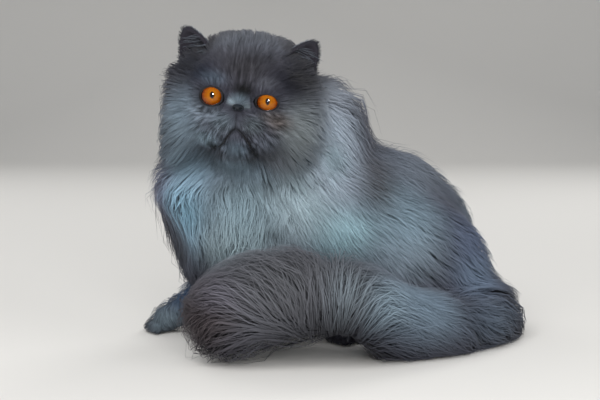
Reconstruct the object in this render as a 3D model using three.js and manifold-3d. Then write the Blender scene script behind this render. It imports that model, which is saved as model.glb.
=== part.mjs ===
// A seated long-haired cat of the flat-faced kind, life size, as a still museum model.
// Millimetres, +Z up. The face looks along -Y, the body runs back to the right, the feet stand on z = 0.
import * as THREE from "three";
import { ConvexGeometry } from "three/addons/geometries/ConvexGeometry.js";
import { mergeVertices } from "three/addons/utils/BufferGeometryUtils.js";
import { MeshSurfaceSampler } from "three/addons/math/MeshSurfaceSampler.js";
import Module from "manifold-3d";

const wasm = await Module();
wasm.setup();
const { degToRad, lerp, smoothstep, clamp } = THREE.MathUtils;
const vec = (x, y, z) => new THREE.Vector3(x, y, z);

// Driving sizes
const GAP = 0.35; // air between neighbouring nodes
const EYE_SPACING = 51.6; // between the pupils
const EYE_RADIUS = 10.8;
const EYE_AHEAD = 48; // of the eyeballs' centres, from the middle of the head
const EYE_HEIGHT = 239; // above the floor
const LID_THICKNESS = 3.6;
const LID_OPENING = 21.6; // across the middle of the lids
const HEAD_ROLL = degToRad(6.5); // towards the cat's left shoulder
const HEAD_YAW = degToRad(-5);
const BODY_TURN = degToRad(-62); // of the body against the face
const EAR_SPREAD = 47; // from the middle of the head to the middle of an ear
const EAR_WIDTH = 37;
const EAR_HEIGHT = 32;
const EAR_WALL = 2.6;
const EAR_SHIFT = -3; // of both ears towards the right, as the skull sits
const EAR_LEAN = 0.5; // outwards, in radians
const EAR_TURN = 0.35; // of the open side towards the face's side, in radians
const NOSE_WIDTH = 10.5;
const NOSE_HEIGHT = 6.4;
const LIP_ROUND = 2.6;
const MOUTH_CUT = 1.6;
const MOUTH_AHEAD = 1; // of the cut between the lips, from the middle of their roll
const TOE_WIDTH = 11;
const TOE_REACH = 14; // of the two middle toes beyond the end of the leg's bone
const BLEND = 14; // over which two soft forms melt together
const CORE_SHARE = 0.45; // of a long coat's depth, filled by its dense under-layer
const SHORT_COAT = 8; // a coat up to this deep shows no locks
const ROOT_SINK = 6; // of a lock's root into the core
const LOCK_STEPS = 3; // along a lock
const LOCK_RISE = 0.5; // the lower, the sooner a lock leaves the core
const LOCK_RIDGE = 0.6; // of a lock's thickness, above its middle line
const LEAST_SWELL = 0.01; // of a section at its point, so that it still has corners to move out
const LOCK_ROLL = 0.4; // the most that a lock turns to either side, in radians
const MOST_BURIED = 0.6; // of a lock, in the rest of its own node
const MOST_CUT = 0.06; // of a lock, in the nodes before it
const MARCH_STEPS = 40; // that a ray takes, at most, to reach a soft form's surface
const MARCH_SHARE = 0.8; // of the way left, that each of them covers

// In each frame -Y is forward, +X is the cat's left and +Z is up.
function frameAt(x, y, z, yaw, roll) {
  const turn = new THREE.Euler(0, roll, yaw, "ZYX");
  return new THREE.Matrix4().makeRotationFromEuler(turn).setPosition(x, y, z);
}
const ROOM = new THREE.Matrix4();
const HEAD = frameAt(-51, -12, EYE_HEIGHT, HEAD_YAW, HEAD_ROLL);
const BODY = frameAt(-45, 20, 0, BODY_TURN, 0);
const placed = (frame, x, y, z) => vec(x, y, z).applyMatrix4(frame);
const turned = (frame, x, y, z) => vec(x, y, z).transformDirection(frame);
const UP = vec(0, 0, 1);
const BACK = turned(BODY, 0, 1, 0);
const NOSE_TIP = placed(HEAD, 0, -60, -8);
const bothSides = (make) => [make(1, "left"), make(-1, "right")];

// Soft forms: each tells how far a point is from its surface.
class Ellipsoid {
  constructor(frame, centre, radii) {
    const middle = new THREE.Matrix4().makeTranslation(centre);
    this.toLocal = new THREE.Matrix4().multiplyMatrices(frame, middle).invert();
    this.radii = radii;
  }
  distance(point) {
    const once = point.clone().applyMatrix4(this.toLocal).divide(this.radii);
    const twice = once.clone().divide(this.radii);
    return (once.length() * (once.length() - 1)) / twice.length();
  }
}

class Limb {
  constructor(curve, startRadius, endRadius, from = 0, to = 1, steps = 12) {
    const shares = Array.from({ length: steps + 1 }, (_, i) => lerp(from, to, i / steps));
    this.knots = shares.map((share) => curve.getPointAt(share));
    this.radii = shares.map((share) => lerp(startRadius, endRadius, share));
  }
  nearest(point) {
    let best = { distance: Infinity };
    for (let i = 1; i < this.knots.length; i++) {
      const span = new THREE.Line3(this.knots[i - 1], this.knots[i]);
      const share = span.closestPointToPointParameter(point, true);
      const foot = span.at(share, vec(0, 0, 0));
      const distance = point.distanceTo(foot) - lerp(this.radii[i - 1], this.radii[i], share);
      if (distance < best.distance) best = { distance, foot, along: span.delta(vec(0, 0, 0)) };
    }
    return best;
  }
  distance(point) {
    return this.nearest(point).distance;
  }
}

function melted(distances) {
  return distances.reduce((a, b) => {
    const near = Math.max(BLEND - Math.abs(a - b), 0) / BLEND;
    return Math.min(a, b) - (near * near * BLEND) / 4;
  });
}

// Limbs and tail run along curves.
function curveIn(frame, points) {
  return new THREE.CatmullRomCurve3(points.map(([x, y, z]) => placed(frame, x, y, z)));
}
const LEGS = {
  foreleg_left: curveIn(BODY, [[36, 22, 108], [42, 12, 62], [38, -22, 26], [36, -44, 13]]),
  foreleg_right: curveIn(BODY, [[-36, 16, 108], [-52, 0, 62], [-66, -34, 28], [-76, -62, 13]]),
  hindleg_left: curveIn(BODY, [[66, 172, 20], [66, 120, 13], [60, 74, 13]]),
  hindleg_right: curveIn(BODY, [[-66, 172, 20], [-66, 120, 13], [-60, 74, 13]]),
};
// The tail leaves the rump, passes round the left haunch and lies across the front of the body.
const TAIL = curveIn(ROOM, [
  [150, 118, 60],
  [174, 94, 34],
  [186, 52, 20],
  [174, 4, 20],
  [138, -38, 22],
  [84, -76, 28],
  [20, -98, 36],
  [-46, -96, 48],
]);
const TAIL_NODES = ["tail_base", "tail_middle", "tail_bend", "tail_tip"];
const TAIL_SPLITS = [0, 0.26, 0.5, 0.74, 1];

// How deep the coat stands
function headCoat(point) {
  const local = point.clone().applyMatrix4(HEAD.clone().invert());
  const fromNose = local.distanceTo(vec(0, -58, -10));
  const cheek = smoothstep(Math.abs(local.x), 15, 60) * (1 - 0.8 * smoothstep(local.z, 0, 32));
  return 3.5 + 4 * smoothstep(fromNose, 25, 60) + 15 * cheek * smoothstep(fromNose, 40, 80);
}
const tailCoat = ({ x }) => 72 - 44 * smoothstep(x, 30, 180) - 18 * (1 - smoothstep(x, -75, 10));
const legCoat = ({ z }) => lerp(4, 15, smoothstep(z, 14, 70));
const even = (depth) => () => depth;

// Which way the coat lies
const awayFromNose = (point) => point.clone().sub(NOSE_TIP).normalize().addScaledVector(UP, -0.25);
const backAndDown = (back, down) => () => BACK.clone().multiplyScalar(back).addScaledVector(UP, -down);
function chestLie(point) {
  const aside = point.clone().sub(placed(BODY, 0, 0, 0)).setZ(0).normalize();
  return aside.multiplyScalar(0.35).addScaledVector(UP, -1);
}
function tailLie(limb) {
  return (point) => {
    const { foot, along } = limb.nearest(point);
    const fan = lerp(1, 0.6, smoothstep(point.x, -20, 90));
    return point.clone().sub(foot).normalize().multiplyScalar(fan).add(along.normalize());
  };
}

// The regions of flesh, each with the node that it belongs to
const region = (node, shape, coat, lie) => ({ node, shape, coat, lie });
function headRegion(x, y, z, ...radii) {
  return region("head", new Ellipsoid(HEAD, vec(x, y, z), vec(...radii)), headCoat, awayFromNose);
}
const REGIONS = [
  headRegion(0, 5, 12, 47, 50, 42),
  headRegion(0, -46, -5, 10, 12, 10),
  headRegion(0, -40, -43, 14, 13, 11),
  headRegion(0, -13, -34, 34, 32, 21),
  ...bothSides((side) => headRegion(side * 32, -14, -18, 27, 30, 27)),
  ...bothSides((side) => headRegion(side * 13, -43, -28, 16, 15, 16)),
  ...bothSides((side) => headRegion(side * 22, -34, 16, 18, 16, 13)),
  ...bothSides((side) => headRegion((side * EYE_SPACING) / 2, -35, -1, 19, 11, 17)),
  region("ruff", new Ellipsoid(ROOM, vec(-48, 8, 190), vec(42, 42, 46)), even(34), chestLie),
  region("ruff", new Ellipsoid(ROOM, vec(-6, 45, 190), vec(44, 44, 44)), even(35), backAndDown(0.8, 0.6)),
  region("ruff", new Ellipsoid(BODY, vec(0, -18, 125), vec(48, 46, 56)), even(38), chestLie),
  region("torso", new Ellipsoid(BODY, vec(0, 60, 128), vec(52, 60, 54)), even(32), backAndDown(1, 0.45)),
  region("torso", new Ellipsoid(BODY, vec(0, 112, 98), vec(62, 116, 66)), even(28), backAndDown(1, 0.45)),
  ...bothSides((side) => {
    const shoulder = new Ellipsoid(BODY, vec(side * 34, 32, 104), vec(26, 34, 46));
    return region("torso", shoulder, even(28), backAndDown(0.5, 0.9));
  }),
  ...bothSides((side, name) => {
    const thigh = new Ellipsoid(BODY, vec(side * 58, 165, 62), vec(32, 56, 56));
    return region(`hindleg_${name}`, thigh, even(26), backAndDown(0.6, 0.8));
  }),
  ...Object.entries(LEGS).map(([node, curve]) => {
    const topRadius = node.startsWith("fore") ? 20 : 15;
    return region(node, new Limb(curve, topRadius, 13), legCoat, backAndDown(0.3, 1));
  }),
  ...TAIL_NODES.map((node, i) => {
    const limb = new Limb(TAIL, 11, 3, TAIL_SPLITS[i], TAIL_SPLITS[i + 1]);
    return region(node, limb, tailCoat, tailLie(limb));
  }),
];

const skinAt = (point) => melted(REGIONS.map(({ shape }) => shape.distance(point)));

function outwardAt(point) {
  const slope = (axis) => skinAt(point.clone().add(axis)) - skinAt(point.clone().sub(axis));
  return vec(slope(vec(0.5, 0, 0)), slope(vec(0, 0.5, 0)), slope(vec(0, 0, 0.5))).normalize();
}

// Coat depth and lie at a point, drawn from the regions near it
function coatAt(point) {
  const distances = REGIONS.map(({ shape }) => shape.distance(point));
  const least = Math.min(...distances);
  const lie = vec(0, 0, 0);
  let depth = 0;
  let total = 0;
  REGIONS.forEach((each, i) => {
    const weight = Math.exp((least - distances[i]) / (BLEND / 2));
    if (weight < 0.02) return;
    depth += weight * each.coat(point);
    lie.addScaledVector(each.lie(point).normalize(), weight);
    total += weight;
  });
  return { depth: depth / total, lie, owner: REGIONS[distances.indexOf(least)].node };
}
const coreDepth = (depth) => depth * lerp(1, CORE_SHARE, smoothstep(depth, SHORT_COAT, 2 * SHORT_COAT));

// Closed solids from three.js geometry, and back
function solidOf(geometry) {
  const bare = new THREE.BufferGeometry();
  bare.setAttribute("position", geometry.getAttribute("position"));
  bare.setIndex(geometry.getIndex());
  const welded = mergeVertices(bare, 1e-4);
  const vertProperties = Float32Array.from(welded.getAttribute("position").array);
  const triVerts = Uint32Array.from(welded.getIndex().array);
  return new wasm.Manifold(new wasm.Mesh({ numProp: 3, vertProperties, triVerts }));
}

function geometryOf(solid) {
  const { vertProperties, triVerts } = solid.getMesh();
  const geometry = new THREE.BufferGeometry();
  geometry.setAttribute("position", new THREE.BufferAttribute(vertProperties.slice(), 3));
  geometry.setIndex(new THREE.BufferAttribute(triVerts.slice(), 1));
  return geometry;
}

const joined = (pieces) => wasm.Manifold.union(pieces);

function largestPiece(solid) {
  return solid.decompose().reduce((a, b) => (a.volume() > b.volume() ? a : b));
}

function bent(geometry, move) {
  const places = geometry.getAttribute("position");
  for (let i = 0; i < places.count; i++) {
    const to = move(vec(0, 0, 0).fromBufferAttribute(places, i));
    places.setXYZ(i, to.x, to.y, to.z);
  }
  return geometry;
}

function ball(frame, centre, radii, around = 14, rings = 9) {
  const sphere = new THREE.SphereGeometry(1, around, rings);
  return bent(sphere, (p) => p.multiply(radii).add(centre).applyMatrix4(frame));
}

// The core over some regions: rays leave a spine and stop where the coat's dense under-layer ends.
// A cap at each end of the spine closes it with the sphere's first and last rings.
function shell(regions, spine, { around, rings, cap, crowd = 1 }, grow) {
  const reference = Math.abs(spine.getTangentAt(0.5).z) > 0.8 ? BACK : UP;
  const above = (point) =>
    melted(regions.map(({ shape }) => shape.distance(point))) - coreDepth(coatAt(point).depth) - grow;
  return bent(new THREE.SphereGeometry(1, around, rings), (unit) => {
    const polar = (Math.acos(clamp(unit.y, -1, 1)) / Math.PI) ** crowd;
    const share = clamp((polar - cap) / (1 - 2 * cap), 0, 1);
    const tilt = (Math.min(polar, cap) / cap + Math.max(polar - 1 + cap, 0) / cap) * (Math.PI / 2);
    const along = spine.getTangentAt(share);
    const side = along.clone().cross(reference).normalize();
    const other = along.clone().cross(side);
    const turn = Math.atan2(unit.z, unit.x);
    const ray = side.multiplyScalar(Math.cos(turn)).addScaledVector(other, Math.sin(turn));
    ray.multiplyScalar(Math.sin(tilt)).addScaledVector(along, -Math.cos(tilt));
    const start = spine.getPointAt(share);
    let reach = 2;
    for (let i = 0; i < MARCH_STEPS; i++) {
      const left = above(start.clone().addScaledVector(ray, reach));
      reach = Math.max(reach - MARCH_SHARE * left, 1);
      if (Math.abs(left) < 0.02) break;
    }
    return start.addScaledVector(ray, reach);
  });
}

function seeded(seed) {
  let state = seed;
  return () => {
    state = (Math.imul(state, 1664525) + 1013904223) >>> 0;
    return state / 2 ** 32;
  };
}

// The middle line of a lock: it leaves the core, bends along the lie and ends among the coat's tips.
function lockLine(root, { length, thickness, sway }) {
  const stations = [];
  const point = root.clone();
  for (let i = 0; i <= LOCK_STEPS; i++) {
    const share = i / LOCK_STEPS;
    const { depth, lie } = coatAt(point);
    const end = depth - (thickness / 2) * (1 - share);
    const level = lerp(coreDepth(depth) - ROOT_SINK, end, share ** LOCK_RISE);
    for (let pass = 0; pass < 3; pass++) point.addScaledVector(outwardAt(point), level - skinAt(point));
    point.z = Math.max(point.z, thickness * LOCK_RIDGE + 0.5);
    const out = outwardAt(point);
    const along = lie.addScaledVector(out, -lie.dot(out)).normalize();
    along.applyAxisAngle(out, sway * Math.cos(1.5 * Math.PI * share));
    stations.push({ at: point.clone(), out, along, side: along.clone().cross(out) });
    point.addScaledVector(along, length / LOCK_STEPS);
  }
  return stations;
}

// The corners of a lock's section: a flat triangle with its ridge outwards, moved out by `grow` all round
function lockSection({ at, out, side }, share, { width, thickness }, grow) {
  const swell = Math.max((0.7 + 0.9 * share) * (1 - share ** 2.2), LEAST_SWELL);
  const half = (swell * width) / 2;
  const high = swell * thickness;
  const inner = (half * high) / (half + Math.hypot(half, high));
  const larger = 1 + grow / inner;
  const middle = (LOCK_RIDGE - 1) * high + inner;
  const bottom = middle - inner * larger;
  const top = middle + (LOCK_RIDGE * high - middle) * larger;
  const corners = [[-half * larger, bottom], [half * larger, bottom], [0, top]];
  return corners.map(([x, y]) => at.clone().addScaledVector(side, x).addScaledVector(out, y));
}

// One lock: convex lengths between its sections, joined, with a pointed end that `grow` blunts
function lock(root, build, grow) {
  const stations = lockLine(root, build);
  const sections = stations.map((station, i) => lockSection(station, i / LOCK_STEPS, build, grow));
  const { at, along } = stations[LOCK_STEPS];
  sections[LOCK_STEPS] = grow ? [...sections[LOCK_STEPS], at.addScaledVector(along, 3 * grow)] : [at];
  const lengths = sections.slice(1).map((end, i) => new ConvexGeometry([...sections[i], ...end]));
  return joined(lengths.map(solidOf));
}

// Roots spread evenly over the open part of a node's core
function rootsOver(node, core, spacing, random) {
  const sampler = new MeshSurfaceSampler(new THREE.Mesh(core)).setRandomGenerator(random).build();
  const roots = [];
  const point = vec(0, 0, 0);
  for (let i = 0; i < 3000; i++) {
    sampler.sample(point);
    if (roots.some((other) => other.distanceTo(point) < spacing)) continue;
    const { depth, owner } = coatAt(point);
    if (owner !== node || depth < 1.5 * SHORT_COAT || point.z < 5) continue;
    if (skinAt(point) > coreDepth(depth) - 5) roots.push(point.clone());
  }
  return roots;
}

// What makes each furred node: its spine, the fineness of its shell, and the locks that it carries
const line = (frame, from, to) => new THREE.LineCurve3(placed(frame, ...from), placed(frame, ...to));
const FURRED = {
  head: {
    spines: [line(HEAD, [0, -16, -8], [0, -4, -4])],
    mesh: { around: 24, rings: 18, cap: 0.49, crowd: 1.2 },
    locks: { spacing: 23, length: 50, width: 27, thickness: 6, seed: 11 },
  },
  ruff: {
    spines: [line(ROOM, [-10, 40, 192], [-66, 4, 118])],
    mesh: { around: 16, rings: 10, cap: 0.4 },
    locks: { spacing: 31, length: 84, width: 35, thickness: 7, seed: 23 },
  },
  torso: {
    spines: [line(BODY, [0, 70, 112], [0, 160, 95])],
    mesh: { around: 16, rings: 12, cap: 0.36 },
    locks: { spacing: 41, length: 94, width: 42, thickness: 8, seed: 37 },
  },
};
bothSides((side, name) => {
  FURRED[`foreleg_${name}`] = {
    spines: [LEGS[`foreleg_${name}`]],
    mesh: { around: 9, rings: 8, cap: 0.2 },
    locks: { spacing: 27, length: 44, width: 20, thickness: 5, seed: 41 },
    toes: true,
  };
  FURRED[`hindleg_${name}`] = {
    spines: [line(BODY, [side * 56, 150, 62], [side * 56, 180, 62]), LEGS[`hindleg_${name}`]],
    mesh: { around: 10, rings: 7, cap: 0.36 },
    locks: { spacing: 39, length: 78, width: 38, thickness: 7, seed: 53 },
    toes: true,
  };
});
TAIL_NODES.forEach((node, i) => {
  const stretch = [0, 1, 2, 3, 4, 5, 6].map((k) => lerp(TAIL_SPLITS[i], TAIL_SPLITS[i + 1], k / 6));
  FURRED[node] = {
    spines: [new THREE.CatmullRomCurve3(stretch.map((share) => TAIL.getPointAt(share)))],
    mesh: { around: 9, rings: 6, cap: 0.2 },
    locks: { spacing: 31, length: 90, width: 33, thickness: 7, seed: 67 + i },
  };
});

const shareInside = (piece, other) => piece.intersect(other).volume() / piece.volume();
const pieceCount = (solid) => solid.decompose().filter((piece) => piece.volume() > 0).length;

// A furred node: its core, then those locks that nothing buries or cuts off
function furredNode(node, neighbours) {
  const { spines, mesh, locks, toes } = FURRED[node];
  const regions = REGIONS.filter((each) => each.node === node);
  const covered = (i) => (spines.length > 1 ? [regions[i]] : regions);
  const shells = (grow) => spines.map((spine, i) => shell(covered(i), spine, mesh, grow));
  const cores = shells(0);
  const extras = (grow) => (toes ? toesOf(LEGS[node], grow) : []);
  let thin = joined([...cores.map(solidOf), ...extras(0)]);
  const fat = [...shells(GAP).map(solidOf), ...extras(GAP)];
  const random = seeded(locks.seed);
  const count = pieceCount(thin.subtract(neighbours));
  for (const root of cores.flatMap((core) => rootsOver(node, core, locks.spacing, random))) {
    const length = locks.length * lerp(0.8, 1.2, random());
    const build = { ...locks, length, sway: lerp(-LOCK_ROLL, LOCK_ROLL, random()) };
    const wedge = lock(root, build, 0);
    if (shareInside(wedge, thin) > MOST_BURIED || shareInside(wedge, neighbours) > MOST_CUT) continue;
    const grown = thin.add(wedge);
    if (pieceCount(grown.subtract(neighbours)) > count) continue;
    thin = grown;
    fat.push(lock(root, build, GAP));
  }
  return { thin, fat: joined(fat) };
}

// Four rounded toes across the end of a leg
function toesOf(leg, grow) {
  const end = leg.getPointAt(1);
  const ahead = leg.getTangentAt(1).setZ(0).normalize();
  const aside = ahead.clone().cross(UP);
  return [-1.5, -0.5, 0.5, 1.5].map((slot) => {
    const reach = Math.abs(slot) < 1 ? TOE_REACH : TOE_REACH - 4;
    const centre = end.clone().addScaledVector(ahead, reach).addScaledVector(aside, slot * TOE_WIDTH * 0.8);
    const radii = vec(1, 1, 1).multiplyScalar(TOE_WIDTH / 2 + 0.5 + grow);
    return solidOf(ball(ROOM, centre.setZ(TOE_WIDTH / 2), radii, 5, 4));
  });
}

// Eyes, nose, mouth and ears
const eyeCentre = (side) => vec((side * EYE_SPACING) / 2, -EYE_AHEAD, 0);
function eyeSolid(side, grow) {
  return solidOf(ball(HEAD, eyeCentre(side), vec(1, 1, 1).multiplyScalar(EYE_RADIUS + grow)));
}

function lidSolid(side) {
  const opening = LID_OPENING / 2;
  const clear = EYE_RADIUS + GAP + LID_THICKNESS / 2;
  const ahead = Math.sqrt(clear ** 2 - opening ** 2);
  const ring = new THREE.TorusGeometry(opening, LID_THICKNESS / 2, 5, 14).rotateX(Math.PI / 2);
  const { x, y, z } = eyeCentre(side);
  return solidOf(ring.translate(x, y - ahead, z).applyMatrix4(HEAD));
}

function noseSolid(grow) {
  const lobe = (x, z, rx, rz) =>
    solidOf(ball(HEAD, vec(x, -58.5, z - 8), vec(rx, 5.5, rz).addScalar(grow), 8, 5));
  const pad = wasm.Manifold.union([
    lobe(0, 0.4, NOSE_WIDTH * 0.36, NOSE_HEIGHT / 2),
    ...bothSides((side) => lobe(side * NOSE_WIDTH * 0.27, -0.4, NOSE_WIDTH * 0.24, NOSE_HEIGHT * 0.42)),
  ]);
  if (grow) return pad;
  const nostrils = bothSides((side) =>
    solidOf(ball(HEAD, vec(side * NOSE_WIDTH * 0.26, -64, -9), vec(1.1, 3, 1.5), 6, 4)),
  );
  return nostrils.reduce((nose, nostril) => nose.subtract(nostril), pad);
}

// The front surface of the face, straight ahead of a point inside the head
function faceAt(x, z) {
  const point = placed(HEAD, 0, -12, -24);
  const ray = placed(HEAD, x, -56, z).sub(point).normalize();
  for (let i = 0; i < MARCH_STEPS; i++) {
    point.addScaledVector(ray, MARCH_SHARE * (coreDepth(coatAt(point).depth) - skinAt(point)));
  }
  return point;
}
// The mouth droops from its middle to both corners, and a groove joins it to the nose.
const HALF_MOUTH = [[5, -30], [11, -39], [17, -46], [24, -49], [30, -48]];
const MOUTH = [...HALF_MOUTH.map(([x, z]) => [-x, z]).reverse(), [0, -27], ...HALF_MOUTH];
const PHILTRUM = [[0, -13], [0, -19], [0, -27]];

// A round cord laid along the face through (x, z) points of the head's frame
function alongFace(points, radius, ahead) {
  const knots = points.map(([x, z]) => faceAt(x, z));
  knots.forEach((knot) => knot.addScaledVector(outwardAt(knot), ahead));
  const extrudePath = new THREE.CatmullRomCurve3(knots);
  const section = new THREE.Shape().absarc(0, 0, radius, 0, 2 * Math.PI);
  const fineness = { steps: points.length + 3, curveSegments: 3, bevelEnabled: false };
  return solidOf(new THREE.ExtrudeGeometry(section, { ...fineness, extrudePath }));
}

function headNode(neighbours) {
  const { thin, fat } = furredNode("head", neighbours);
  const features = [...bothSides(lidSolid), alongFace(MOUTH, LIP_ROUND, 0)];
  const cuts = [alongFace(MOUTH, MOUTH_CUT, MOUTH_AHEAD), alongFace(PHILTRUM, MOUTH_CUT * 0.8, 0)];
  return { thin: joined([thin, ...features]).subtract(joined(cuts)), fat };
}

// An ear is a rounded cone, hollowed from the front.
function earSolid(side, grow) {
  const lean = new THREE.Euler(0.1, side * EAR_LEAN, side * EAR_TURN, "ZYX");
  const stand = new THREE.Matrix4().makeRotationFromEuler(lean);
  stand.setPosition(side * EAR_SPREAD + EAR_SHIFT, 0, 32);
  const frame = HEAD.clone().multiply(stand);
  const cone = (wide, deep, high, shift) => {
    const sphere = new THREE.SphereGeometry(1, 12, 9).rotateX(Math.PI / 2);
    const taper = ({ z }) => 1 - 0.3 * Math.max(z, 0);
    const shape = (p) => vec(p.x * wide * taper(p), p.y * deep * taper(p) + shift, p.z * high);
    return solidOf(bent(sphere, shape).applyMatrix4(frame));
  };
  const wide = EAR_WIDTH / 2;
  const outer = cone(wide + grow, 9 + grow, EAR_HEIGHT + grow, 0);
  if (grow) return outer;
  return outer.subtract(cone(wide - EAR_WALL, 10, EAR_HEIGHT - 1.5 * EAR_WALL, -5));
}

// Nodes in the order in which they keep their shape: each is cut clear of those before it.
const both = (make) => () => ({ thin: make(0), fat: make(GAP) });
const MAKERS = {
  eye_left: both((grow) => eyeSolid(1, grow)),
  eye_right: both((grow) => eyeSolid(-1, grow)),
  nose: both(noseSolid),
  head: headNode,
  ear_left: both((grow) => earSolid(1, grow)),
  ear_right: both((grow) => earSolid(-1, grow)),
};
for (const node of Object.keys(FURRED)) MAKERS[node] ??= (neighbours) => furredNode(node, neighbours);

const FINISHES = {
  coat: { color: 0x6f7c8a, roughness: 0.95, metalness: 0 },
  eye: { color: 0xb4690f, roughness: 0.1, metalness: 0 },
  nose: { color: 0x252f39, roughness: 0.5, metalness: 0 },
};
function finishOf(node) {
  return new THREE.MeshStandardMaterial(FINISHES[node.split("_")[0]] ?? FINISHES.coat);
}

// Head parts hang in a group that holds the head's turn, the rest in one that holds the body's.
const headGroup = new THREE.Group();
HEAD.decompose(headGroup.position, headGroup.quaternion, headGroup.scale);
const bodyGroup = new THREE.Group();
BODY.decompose(bodyGroup.position, bodyGroup.quaternion, bodyGroup.scale);
const cat = new THREE.Group();
cat.add(headGroup, bodyGroup);

const floor = solidOf(new THREE.BoxGeometry(2000, 2000, 400).translate(0, 0, -200));
let neighbours = floor;
for (const [node, make] of Object.entries(MAKERS)) {
  const { thin, fat } = make(neighbours);
  const cut = thin.subtract(neighbours);
  neighbours = neighbours.add(fat);
  const group = /^(head|ear|eye|nose)/.test(node) ? headGroup : bodyGroup;
  group.updateMatrix();
  const geometry = geometryOf(largestPiece(cut)).applyMatrix4(group.matrix.clone().invert());
  geometry.computeBoundingBox();
  const mesh = new THREE.Mesh(geometry, finishOf(node));
  mesh.name = node;
  geometry.boundingBox.getCenter(mesh.position);
  geometry.translate(-mesh.position.x, -mesh.position.y, -mesh.position.z);
  geometry.computeVertexNormals();
  group.add(mesh);
}

// The origin is the middle of the floor under the cat.
const reach = new THREE.Box3().setFromObject(cat, true);
const middle = reach.getCenter(vec(0, 0, 0));
cat.position.set(-middle.x, -middle.y, 0);

export default cat;
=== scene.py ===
import math

import bmesh
import bpy
import numpy as np
from mathutils import Matrix, Vector, kdtree, noise


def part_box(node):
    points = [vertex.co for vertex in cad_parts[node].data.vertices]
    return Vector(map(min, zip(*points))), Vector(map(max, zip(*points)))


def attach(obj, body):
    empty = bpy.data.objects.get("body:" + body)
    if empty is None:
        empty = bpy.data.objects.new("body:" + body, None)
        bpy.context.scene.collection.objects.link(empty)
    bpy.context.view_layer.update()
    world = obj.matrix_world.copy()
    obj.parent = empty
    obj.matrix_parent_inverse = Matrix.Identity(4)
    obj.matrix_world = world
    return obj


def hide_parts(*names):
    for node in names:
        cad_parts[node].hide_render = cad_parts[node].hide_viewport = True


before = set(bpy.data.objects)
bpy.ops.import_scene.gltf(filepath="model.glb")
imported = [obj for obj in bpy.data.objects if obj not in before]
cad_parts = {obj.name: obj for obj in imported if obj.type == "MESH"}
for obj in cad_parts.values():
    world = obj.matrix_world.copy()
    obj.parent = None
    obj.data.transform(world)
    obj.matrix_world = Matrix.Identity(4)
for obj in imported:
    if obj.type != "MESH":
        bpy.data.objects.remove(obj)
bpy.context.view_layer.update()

# Sizes are in millimetres of the model's own design frame, until `to_scene` turns them to metres.
EYE_SPACING = 51.6
EYE_RADIUS = 10.8
EYE_AHEAD = 48
BLEND = 14  # over which two soft forms of flesh melt together
LID_BLEND = 7
TOE_WIDTH = 11
TOE_REACH = 14
TOE_STEP = 0.8 * TOE_WIDTH  # from one toe to the next
EAR_SPREAD = 47
EAR_SHIFT = -3
EAR_WIDTH = 37
EAR_HEIGHT = 32
EAR_WALL = 2.6
UP = np.array([0.0, 0.0, 1.0])
SOFTNESS = 0.7  # how far a strand's shading leans to that of the whole coat
ROOT_TONE = 0.8
TIP_TONE = 1.08
RISE = 2.2  # how soon a strand reaches its own level in the coat
PLUME_RISE = 2.3
PLUME_DEPTH = 48  # hair over deeper coat than this is the tail's plume
UNDER_SHARE = 0.16  # of the strands are broad under-locks
UNDER_WIDTH = 5.0  # times as wide as the others
LOOSE_SHARE = 0.07
WAVE_LENGTH = 42.0
LEAST_HAIR = 3  # a strand's length on the barest skin
HAIR_TO_DEPTH = 1.9  # length added for each millimetre of the coat's depth
LONGEST_DEPTH = 70  # beyond which strands grow no longer
UV_PATCH = 0.003  # a strand's patch on the map
PATCH_FALL, PATCH_EDGE = 1.2, 1.3  # how fast a soft patch fades, and how squarely
FLOOR_GAP = 1.7  # kept under the lowest hair
SKIN_SHADE = 0.6  # the bare skin against the hair over it
EAR_BARE, EAR_CUP, EAR_BACK, EAR_FRINGE, EAR_ACROSS = "2c2a30", "303036", "54575e", "7f868e", "565b63"
EAR_HAIRS = 2600
EAR_STATIONS = 4
PUPIL = (1.8, 3.2)  # half its width and height
CORNEA_RADIUS = 9.6
CORNEA_AHEAD = 2.1  # of its centre before the eyeball's
CAMERA_PLACE = np.array((0.0, -1360.0, 283.0))
CAMERA_TILT = 6  # degrees below level
GAZE_ABOVE = np.array((0.0, 0.0, 120.0))  # the cat looks just over the camera
FEWER = 1
WIDER = 1.0
rng = np.random.default_rng(19)


def smoothstep(value, low, high):
    """0 below `low`, 1 above `high` and a smooth rise between."""
    share = np.clip((value - low) / (high - low), 0, 1)
    return share * share * (3 - 2 * share)


def lerp(a, b, share):
    return a + (b - a) * share


def length_of(vectors):
    return np.sqrt((vectors * vectors).sum(-1))


def unit(vectors):
    return vectors / np.maximum(length_of(vectors), 1e-9)[..., None]


def grid_points(low, step, counts):
    axes = [start + step * np.arange(count) for start, count in zip(low, counts)]
    return np.stack(np.meshgrid(*axes, indexing="ij"), -1).reshape(-1, 3)


def oval_distance(once, radii):
    """Signed distance from an oval, at places given in units of its radii."""
    size = length_of(once)
    return size * (size - 1) / np.maximum(length_of(once / radii), 1e-6)


def ring_quads(first, rings, spokes, flip=False):
    """Quads between rings of points that follow each other in a list."""
    quads = []
    for i in range(rings - 1):
        for k in range(spokes):
            a, b = first + i * spokes + k, first + i * spokes + (k + 1) % spokes
            quads.append((a, a + spokes, b + spokes, b) if flip else (a, b, b + spokes, a + spokes))
    return quads


def placed(name, data):
    """A new object in the scene."""
    piece = bpy.data.objects.new(name, data)
    bpy.context.scene.collection.objects.link(piece)
    return piece


def rider(name, mesh, material):
    """Makes a mesh a piece that rides on the one body."""
    mesh.materials.append(material)
    piece = placed(name, mesh)
    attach(piece, "root")
    return piece


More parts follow.
